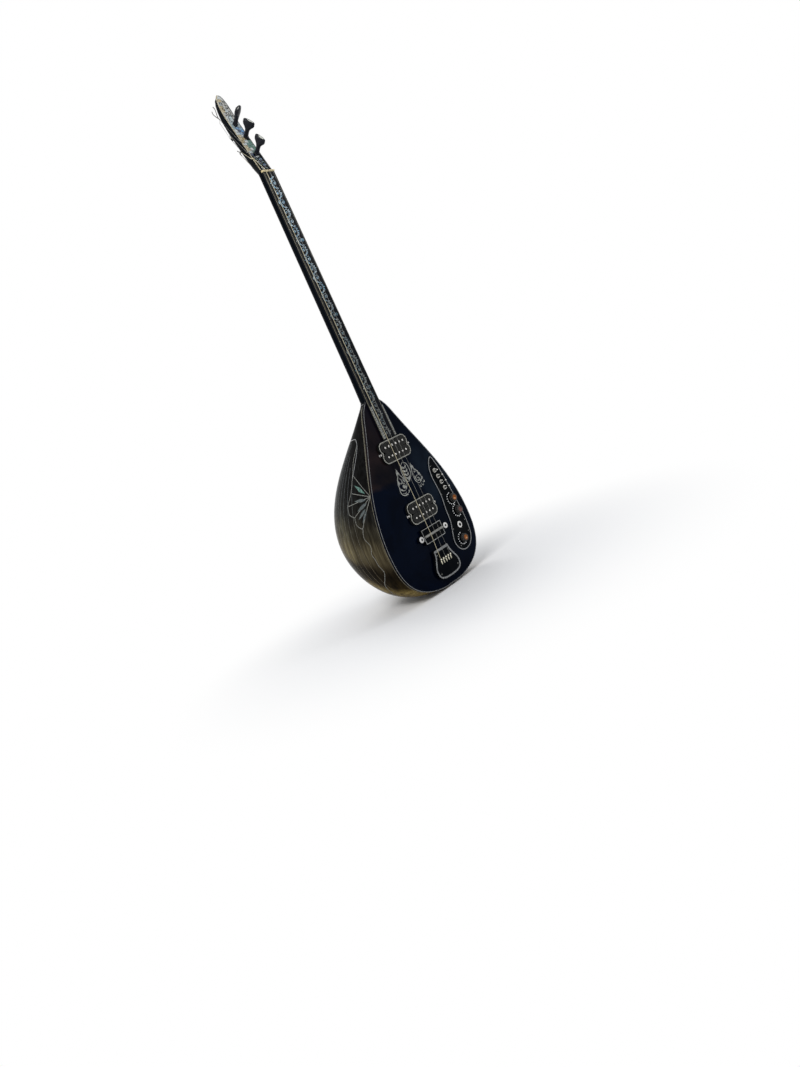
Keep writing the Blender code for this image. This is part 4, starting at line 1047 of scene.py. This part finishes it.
def make_head_inlay():
    """Shell mosaic up the head's face, scrolls at its root and tip and a golden line round its edge."""
    chance = random.Random(11)
    looks = {"white": "white_shell", "blue": "blue_shell", "green": "green_shell", "abalone": "abalone",
             "cream": "cream_binding", "navy": "navy_shell", "pale": "pale_blue_shell", "silver": "tip_shell"}
    groups = {tone: Build(head_place) for tone in looks}
    head_tiles(groups, chance)
    for along, side, tone in ((0.0060, -1, "white"), (0.0125, 1, "blue"), (0.0190, -1, "white"),
                              (0.0255, 1, "blue")):
        groups[tone].scroll((side * 0.0044, along), 0.0038, 1.1, 90 + side * 80, side, 0.0013, 16)
        groups["navy"].leaf((side * 0.0008, along + 0.0034), (side * -0.0086, along + 0.0054), 0.0036)
        groups["abalone"].leaf((side * -0.0010, along - 0.0010), (side * -0.0084, along + 0.0004), 0.0022)
    groups["white"].leaf((-0.0090, 0.0290), (0.0070, 0.0318), 0.0030, 6)
    for tone, data in groups.items():
        data.done(f"head_inlay_{tone}", looks[tone])
    dark = Build(head_place)
    lift = 0.0003
    for x, along, radius, turns, start, way in (
            (4.2, 149.0, 3.6, 1.1, 250, 1), (-3.0, 146.0, 4.2, 1.2, 290, -1), (5.0, 139.2, 4.4, 1.1, 100, -1),
            (-3.0, 135.0, 4.0, 1.0, 60, 1), (5.0, 129.0, 4.4, 1.0, 200, 1), (-2.0, 126.2, 3.6, 1.0, 30, -1)):
        dark.scroll(milli((x, along)), milli(radius), turns, start, way, 0.0014, 20, lift=lift)
    dark.line(oval((0.0, 0.1150), 0.0048, 0.0064, 24), 0.0009, lift, closed=True)
    dark.line(smooth_path([(-0.0092, 0.1215), (0.0, 0.1236), (0.0094, 0.1190)]), 0.0011, lift)
    dark.done("head_scrolls", "head_lacquer", "body", "head_lacquer")
    for name, side, inset, width, look in (("left", -1, 0.0011, 0.0022, "head_rim"),
                                           ("right", 1, 0.0009, 0.0012, "purfling")):
        edge = Build(head_place)
        edge.line(head_rim(side, inset), width)
        edge.done(f"head_binding_{name}", look)


# Fittings


def stadium(cz, length, width, steps):
    """The outline of a round-ended bar across the soundboard."""
    radius = width / 2
    reach = length / 2 - radius
    points = []
    for side, start in ((1, -90), (-1, 90)):
        for i in range(steps + 1):
            a = math.radians(start + 180 * i / steps)
            points.append((side * reach + radius * math.cos(a), cz + radius * math.sin(a)))
    return points


def make_pickup_trim():
    """A low frame with a pearl band round each pickup, its coils' outlines, poles and ear screws, with black
    slots and crosses painted on the screw heads as the shade in their recesses.
    """
    frames, trims, outlines, poles, slots, crosses, domes = (Build(board_place) for _ in range(7))
    trims.place = level(FRAME_TOP)
    outlines.place = level(COIL_TOP)
    for where, z in PICKUP_Z.items():
        half = [p for p in stadium(z + POLE_ROW, *FRAME_SIZE, 24) if p[1] >= z + 0.0008]
        loop = half + [(x, 2 * z - pz) for x, pz in reversed(half)]
        frames.line(loop, 0.0034, FRAME_TOP, closed=True)
        trims.line(loop, 0.0020, 0.0003, closed=True)
        for side, top in ((-1, SLUG_TOP), (1, SCREW_TOP)):
            row = z + side * POLE_ROW
            outlines.line(stadium(row, *COIL_SIZE, 14), 0.0005, 0.00006, closed=True)
            # Black slot lines on the pole tops: painted shade of the screws' slots.
            slots.place = level(top + 0.0003)
            for x in ((k - 2.5) * POLE_GAP for k in range(6)):
                poles.turned(((-0.0001, 0.00175), (0.00012, 0.00175), (0.00026, 0.0014), (0.00032, 0.0006)),
                             x, -top, row, 18)
                if side > 0:
                    slots.line([(x - 0.0013, row - 0.0005), (x + 0.0013, row + 0.0005)], 0.0004, 0.00005)
        for side in ("left", "right"):
            low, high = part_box(f"{where}_height_screw_{side}")
            x = (low.x + high.x) / 2
            domes.turned(((0.0001, 0.0020), (0.0024, 0.0020), (0.0030, 0.0017), (0.0034, 0.0007)),
                         x, low.y, z, 20)
            # Black crosses on the ear screws: painted shade of their cross recesses.
            crosses.place = level(-low.y + 0.0034)
            crosses.cross(x, z, 0.0012, 20, 0.0005, 0.00006)
    frames.done("pickup_frame", "coil_plastic", "body", "coil_plastic")
    trims.done("pickup_trim", "pickup_band")
    outlines.done("coil_outlines", "coil_edges", "body", "coil_plastic")
    poles.done("pole_tops", "nickel_steel", "body", "nickel_steel")
    slots.done("pole_slot_shades", "coil_plastic", "body", "coil_plastic")
    crosses.done("ear_screw_cross_shades", "coil_plastic", "body", "coil_plastic")
    domes.done("ear_screw_heads", "nickel_steel", "body", "nickel_steel")


def make_bridge_trim():
    """Silver line round the bridge block, and black hexagons painted on its studs as the shade in their hex
    recesses.
    """
    data = Build(level(BRIDGE_TOP))
    corners = [(x * BRIDGE_LINE[0], BRIDGE_Z + z * BRIDGE_LINE[1])
               for x, z in ((-1, -1), (1, -1), (1, 1), (-1, 1), (-1, -1))]
    for a, b in zip(corners, corners[1:]):
        data.line(straight(a, b, 8), 0.0013)
    data.done("bridge_line", "pearl")
    # Black hex discs on the studs: painted shade of the hex recesses.
    recess_shades = Build()
    for name in ("left", "right"):
        low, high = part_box(f"bridge_post_{name}")
        middle = (low + high) / 2
        recess_shades.turned(((0.0, 0.0023), (0.0002, 0.0023)), middle.x, -STUD_TOP, middle.z, 6)
    recess_shades.done("stud_recess_shade", "coil_plastic", "body", "coil_plastic")


def make_tailpiece_trim():
    """Pearl border and bar of the tailpiece, ferrules of its pins, and the screws of it and of the plate,
    with black crosses painted on their heads as the shade in their recesses.
    """
    data = Build(level(TAILPIECE_TOP))
    inner = [(p[0] * 0.94, 0.0440 + (p[1] - 0.0440) * 0.94) for p in smooth_path(TAIL_RIGHT, 5)]
    data.line(inner + [(-x, z) for x, z in reversed(inner[:-1])], 0.0030, closed=True)
    data.line(straight((-0.0180, 0.0694), (0.0180, 0.0694), 8), 0.0026)
    data.done("tailpiece_border", "purfling")
    ferrules = Build()
    for x in ((k - 2) * FERRULE_GAP for k in range(5)):
        rings = []
        for t in spaced(0, math.pi, 8):
            reach = max(math.sin(t), 0.08)
            z = 0.0470 - 0.0042 * math.cos(t)
            rings.append(ferrules.ring((x + 0.0012 * reach * math.cos(a),
                                        -0.0076 - 0.0011 * reach * math.sin(a), z) for a in circle(14)))
        ferrules.join(rings)
    ferrules.done("string_pin_ferrules", "wound_ends", "body", "string_steel")
    heads, crosses = Build(), Build()
    for top, radius, turn, places in (
            (TAILPIECE_TOP, 0.0016, 25, ((-16.5, 62.5), (16.5, 62.5), (-26.2, 27.6), (26.2, 27.6))),
            (PLATE_TOP, 0.0014, 50, ((71.2, 218), (67.2, 159), (57.5, 88), (98.5, 93), (96, 70), (59, 52)))):
        # Black crosses on the screw heads: painted shade of their cross recesses.
        crosses.place = level(top + 0.0011)
        for x, z in milli(places):
            heads.turned(((-0.0002, radius), (0.0004, radius), (0.0009, radius * 0.82),
                          (0.0012, radius * 0.4)), x, -top, z, 20)
            crosses.cross(x, z, radius * 0.62, turn, radius * 0.28, LINE_LIFT)
    heads.done("plate_screws", "dark_nickel", "body", "chrome")
    crosses.done("plate_screw_cross_shades", "coil_plastic", "body", "coil_plastic")


def make_plate_trim():
    """Pearl edge of the control plate and the white dial marks round the knobs."""
    data = Build(level(PLATE_TOP))
    loop = smooth_path(PLATE_EDGE, 5, True)
    outer = []
    for before, spot, after in zip(loop[-1:] + loop[:-1], loop, loop[1:] + loop[:1]):
        along = after - before
        outer.append(spot + Vector((-along[1], along[0])).normalized() * 0.0011)
    data.line(outer, 0.0018, closed=True)
    data.done("plate_border", "purfling")
    marks = Build(level(PLATE_TOP))
    for x, z in KNOBS.values():
        for a in (math.radians(96 + 24 * k) for k in range(12)):
            spot = (x + DIAL_RADIUS * math.cos(a), z + DIAL_RADIUS * math.sin(a))
            if spot[0] <= DIAL_LIMIT:
                marks.patch(oval(spot, DIAL_DOT, DIAL_DOT, 12))
    marks.done("dial_marks", "white_marks")


def make_knob_tops():
    """A ribbed skirt and a faceted copper-coloured insert for each knob, with two pale leaves painted on it
    as highlights.
    """
    looks = {"volume": ("copper_top", "pale_copper", 250), "tone": ("dark_copper_top", "dim_copper", 300),
             "blend": ("copper_top", "pale_copper", 280)}
    for name, (x, z) in KNOBS.items():
        low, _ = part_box(f"{name}_knob")
        body = f"{name}_control"
        insert_look, glint_look, aim = looks[name]
        insert = Build()
        insert.turned(((-0.0001, 0.0052), (0.00018, 0.0051), (0.00026, 0.0045), (0.00006, 0.0041),
                       (0.00014, 0.0024), (0.00026, 0.0007)), x, low.y, z, 32)
        insert.done(f"{name}_knob_insert", insert_look, body, "knob_plastic")
        # Two pale leaves in a V: painted highlights on the conical insert.
        painted_glints = Build(level(-low.y + 0.0001))
        for a in (math.radians(aim - 38), math.radians(aim + 38)):
            painted_glints.leaf((x, z), (x + 0.0046 * math.cos(a), z + 0.0046 * math.sin(a)), 0.0021)
        painted_glints.done(f"{name}_knob_painted_glints", glint_look, body)
        ribs = Build()
        for a in circle(KNOB_RIBS):
            out = Vector((math.cos(a), 0, math.sin(a)))
            side = Vector((-math.sin(a), 0, math.cos(a))) * 0.00032
            ribs.join([ribs.ring((spot - side, spot + out * 0.00042, spot + side, spot - out * 0.0003))
                       for spot in (Vector((x, -0.0068, z)) + out * 0.0079,
                                    Vector((x, -0.0100, z)) + out * 0.0076)])
        ribs.done(f"{name}_knob_ribs", "knob_ribs", body, "knob_plastic")


# Pegs and strings


def peg_axis():
    """Direction of the pegs, leaning to the head's tip and to the left."""
    out = Vector((0.0, -math.cos(HEAD_TILT), math.sin(HEAD_TILT)))
    up = Vector((0.0, math.sin(HEAD_TILT), math.cos(HEAD_TILT)))
    side = Vector((-1.0, 0.0, 0.0))
    return (out + up * math.tan(PEG_LEAN_UP) + side * math.tan(PEG_LEAN_LEFT)).normalized()


def peg_frame(seat):
    """A peg's place on the head's face, its axis and its handle's two directions."""
    along, across, turn = PEG_SEATS[seat]
    axis = peg_axis()
    first = (Vector((1, 0, 0)) - axis * axis.x).normalized()
    second = axis.cross(first)
    angle = math.radians(turn)
    wide = first * math.cos(angle) + second * math.sin(angle)
    return head_place(across, along), axis, wide, axis.cross(wide)


def make_peg_trim():
    """Small pale insets in the ends of the pegs' handles."""
    for seat, (half_wide, half_thick, shift) in enumerate(PEG_INSETS):
        base, axis, wide, thick = peg_frame(seat)
        cap = Build()
        cap.join([cap.ring(base + axis * along + wide * (shift + half_wide * share * math.cos(t))
                           + thick * half_thick * share * math.sin(t) for t in circle(28))
                  for along, share in ((0.0333, 1.0), (0.03372, 1.0), (0.03386, 0.86), (0.03392, 0.40))])
        cap.done(f"peg_cap_{seat + 1}", "cap_shell", f"peg_body_{seat + 1}", "bone")


def tube(name, points, radius, look, body):
    """A round wire along a path."""
    curve = bpy.data.curves.new(name, "CURVE")
    curve.dimensions = "3D"
    curve.bevel_depth = radius
    curve.bevel_resolution = 3
    curve.use_fill_caps = True
    spline = curve.splines.new("POLY")
    spline.points.add(len(points) - 1)
    for spot, point in zip(spline.points, points):
        spot.co = (*point, 1.0)
    return carried(name, curve, look, body)


def winding(seat):
    """The middle of a peg's turns, the peg's axis, two directions across it and the turns' radius."""
    along, across, _turn = PEG_SEATS[seat]
    axis = peg_axis()
    first = (Vector((-1, 0, 0)) + axis * axis.x).normalized()
    return (flat_head(across, along) - axis * WINDING_BACK, axis, first, axis.cross(first),
            WINDING_RADIUS + STRING_RADIUS[2 - seat])


def make_free_ends():
    """Spare ends of the first and third string, twisted round their wires at the head's back edge."""
    for i, shapes in FREE_ENDS.items():
        back = STRING_BACK[i]
        side = -head_half(back) - 0.0011
        root = flat_head(side - STRING_RADIUS[i], back - 0.0010, HEAD_BEND)
        for k, shape in enumerate(shapes):
            points = [root] + [flat_head(side - out, back + along, deep) for out, along, deep in shape]
            tube(f"string_end_{i + 1}_{k + 1}", smooth_path(points, 5), END_RADIUS, "string_ends", "body")


def make_strings():
    """The wound turns on each peg and the three taut strings."""
    for seat in range(3):
        middle, axis, first, second, reach = winding(seat)
        points = []
        for i in range(TURNS * TURN_STEPS + 1):
            angle = 2 * math.pi * i / TURN_STEPS
            points.append(middle + axis * (-TURN_PITCH * i / TURN_STEPS)
                          + (first * math.cos(angle) + second * math.sin(angle)) * reach)
        made = tube(f"peg_string_turns_{seat + 1}", points, STRING_RADIUS[2 - seat], "string_bronze",
                    f"peg_body_{seat + 1}")
        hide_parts(f"peg_winding_{seat + 1}")
    for i, (pin, bridge, nut) in enumerate(STRING_SPREAD):
        radius, edge, back = STRING_RADIUS[i], STRING_EDGE[i], STRING_BACK[i]
        lift = radius + STRING_CLEAR
        middle, axis, first, _second, reach = winding(2 - i)
        points = [
            (pin, -PIN_TOP, PIN_Z + lift), (bridge, -SADDLE_TOP - lift, BRIDGE_Z),
            (nut, -NUT_TOP - lift, NUT_Z + 0.0014), (nut - 0.0004, -NUT_TOP - lift, NUT_Z + 0.0025),
            flat_head(-head_half(edge) + 0.0010, edge, -lift - 0.0010),
            flat_head(-head_half(edge) - lift - 0.0008, edge + 0.0010, 0.0006),
            flat_head(-head_half(back) - lift - 0.0008, back - 0.0010, HEAD_BEND),
            flat_head(-head_half(back) + 0.0020, back + 0.0010, 0.0190 + lift),
            middle + first * 0.0090 + axis * 0.0002,
            middle + first * (reach + STRING_CLEAR + 2 * radius),
        ]
        made = tube(f"string_wire_{i + 1}", points, radius, "string_steel" if i else "string_bronze", "body")
        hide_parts(f"string_{i + 1}")


# Studio


FLOOR_HALF, FLOOR_Z = 6.0, -0.0032
FOCAL_PIXELS, PHOTO_PIXELS, SENSOR = 770.0, 1067.0, 36.0


def seen_directly(tree):
    """1 for rays from the camera, in reflections and through clear things, else 0."""
    path = add_node(tree, "ShaderNodeLightPath").outputs
    total = path["Is Camera Ray"]
    for name in ("Is Glossy Ray", "Is Transmission Ray"):
        total = add_node(tree, "ShaderNodeMath", {0: total, 1: path[name]}, operation="MAXIMUM").outputs[0]
    return total


def make_stage():
    """A pale floor that keeps the object's shadow and melts into the white backdrop."""
    floor = Build()
    floor.mesh.faces.new(floor.ring((x * FLOOR_HALF, y * FLOOR_HALF, FLOOR_Z)
                                    for x, y in ((-1, -1), (1, -1), (1, 1), (-1, 1))))
    mesh = bpy.data.meshes.new("studio_floor")
    floor.mesh.to_mesh(mesh)
    floor.mesh.free()
    look = Look("studio_floor")
    look.colour(look.ramp(look.noise(0.8, 2.0), ((0.3, 0.90), (0.7, 0.94))))
    look.rough(0.75, 0.9, 3.0).fixed(specular=0.0)
    away = look.add("ShaderNodeVectorMath", {0: look.coords}, operation="LENGTH").outputs["Value"]
    fade = look.add("ShaderNodeMapRange", {"From Min": 0.12, "From Max": 0.60, "Value": away},
                    interpolation_type="SMOOTHSTEP").outputs["Result"]
    share = look.math("MULTIPLY", fade, seen_directly(look.tree))
    white = look.add("ShaderNodeEmission")
    blended = look.add("ShaderNodeMixShader", {0: share, 1: look.shader.outputs[0], 2: white.outputs[0]})
    look.tree.links.new(blended.outputs[0], look.tree.nodes["Material Output"].inputs["Surface"])
    mesh.materials.append(look.material)
    put("studio_floor", mesh)


def area_light(name, place, target, power, size, size_y):
    lamp = bpy.data.lights.new(name, "AREA")
    lamp.shape = "RECTANGLE"
    lamp.size = size
    lamp.size_y = size_y
    lamp.energy = power
    made = put(name, lamp)
    made.location = place
    made.rotation_euler = (Vector(target) - Vector(place)).to_track_quat("-Z", "Y").to_euler()


def make_world():
    """Soft even daylight on the object in front of a plain white backdrop."""
    world = bpy.data.worlds.new("studio")
    world.use_nodes = True
    tree = world.node_tree
    soft = tree.nodes["Background"]
    soft.inputs["Color"].default_value = (0.94, 0.96, 1.0, 1.0)
    soft.inputs["Strength"].default_value = 0.50
    white = add_node(tree, "ShaderNodeBackground", {"Color": 1.0, "Strength": 1.0})
    either = add_node(tree, "ShaderNodeMixShader",
                      {0: seen_directly(tree), 1: soft.outputs[0], 2: white.outputs[0]})
    tree.links.new(either.outputs[0], tree.nodes["World Output"].inputs["Surface"])
    bpy.context.scene.world = world


def make_studio():
    """Floor, lights and the photograph's camera."""
    make_stage()
    make_world()
    scene = bpy.context.scene
    area_light("key", (-2.2, -1.0, 2.4), (0, 0.05, 0.3), 44.0, 1.6, 1.2)
    area_light("fill", (1.6, -2.2, 1.8), (0, 0, 0.3), 12.0, 1.2, 1.2)
    area_light("rim", (1.2, 1.6, 2.2), (0, 0.05, 0.4), 16.0, 1.4, 1.0)
    scene.view_settings.view_transform = "Standard"
    camera = bpy.data.cameras.new("photo_camera")
    camera.sensor_fit = "VERTICAL"
    camera.sensor_height = SENSOR
    camera.lens = FOCAL_PIXELS / PHOTO_PIXELS * SENSOR
    camera.clip_start = 0.01
    right = Vector((0.6316, -0.6549, -0.4151))
    up = Vector((0.3824, -0.2025, 0.9015))
    back = Vector((-0.6744, -0.7281, 0.1225))
    turn = Matrix((right, up, back)).transposed().to_4x4()
    made = put("photo_camera", camera)
    made.matrix_world = Matrix.Translation((-1.0279, -1.0292, 0.3084)) @ turn
    scene.camera = made


paint_nodes()
make_bowl()
make_stave_lines()
make_side_inlays()
make_edge_binding()
make_arabesque()
make_vine()
make_neck_binding()
make_head_inlay()
make_pickup_trim()
make_bridge_trim()
make_tailpiece_trim()
make_plate_trim()
make_knob_tops()
make_peg_trim()
make_strings()
make_free_ends()
make_studio()
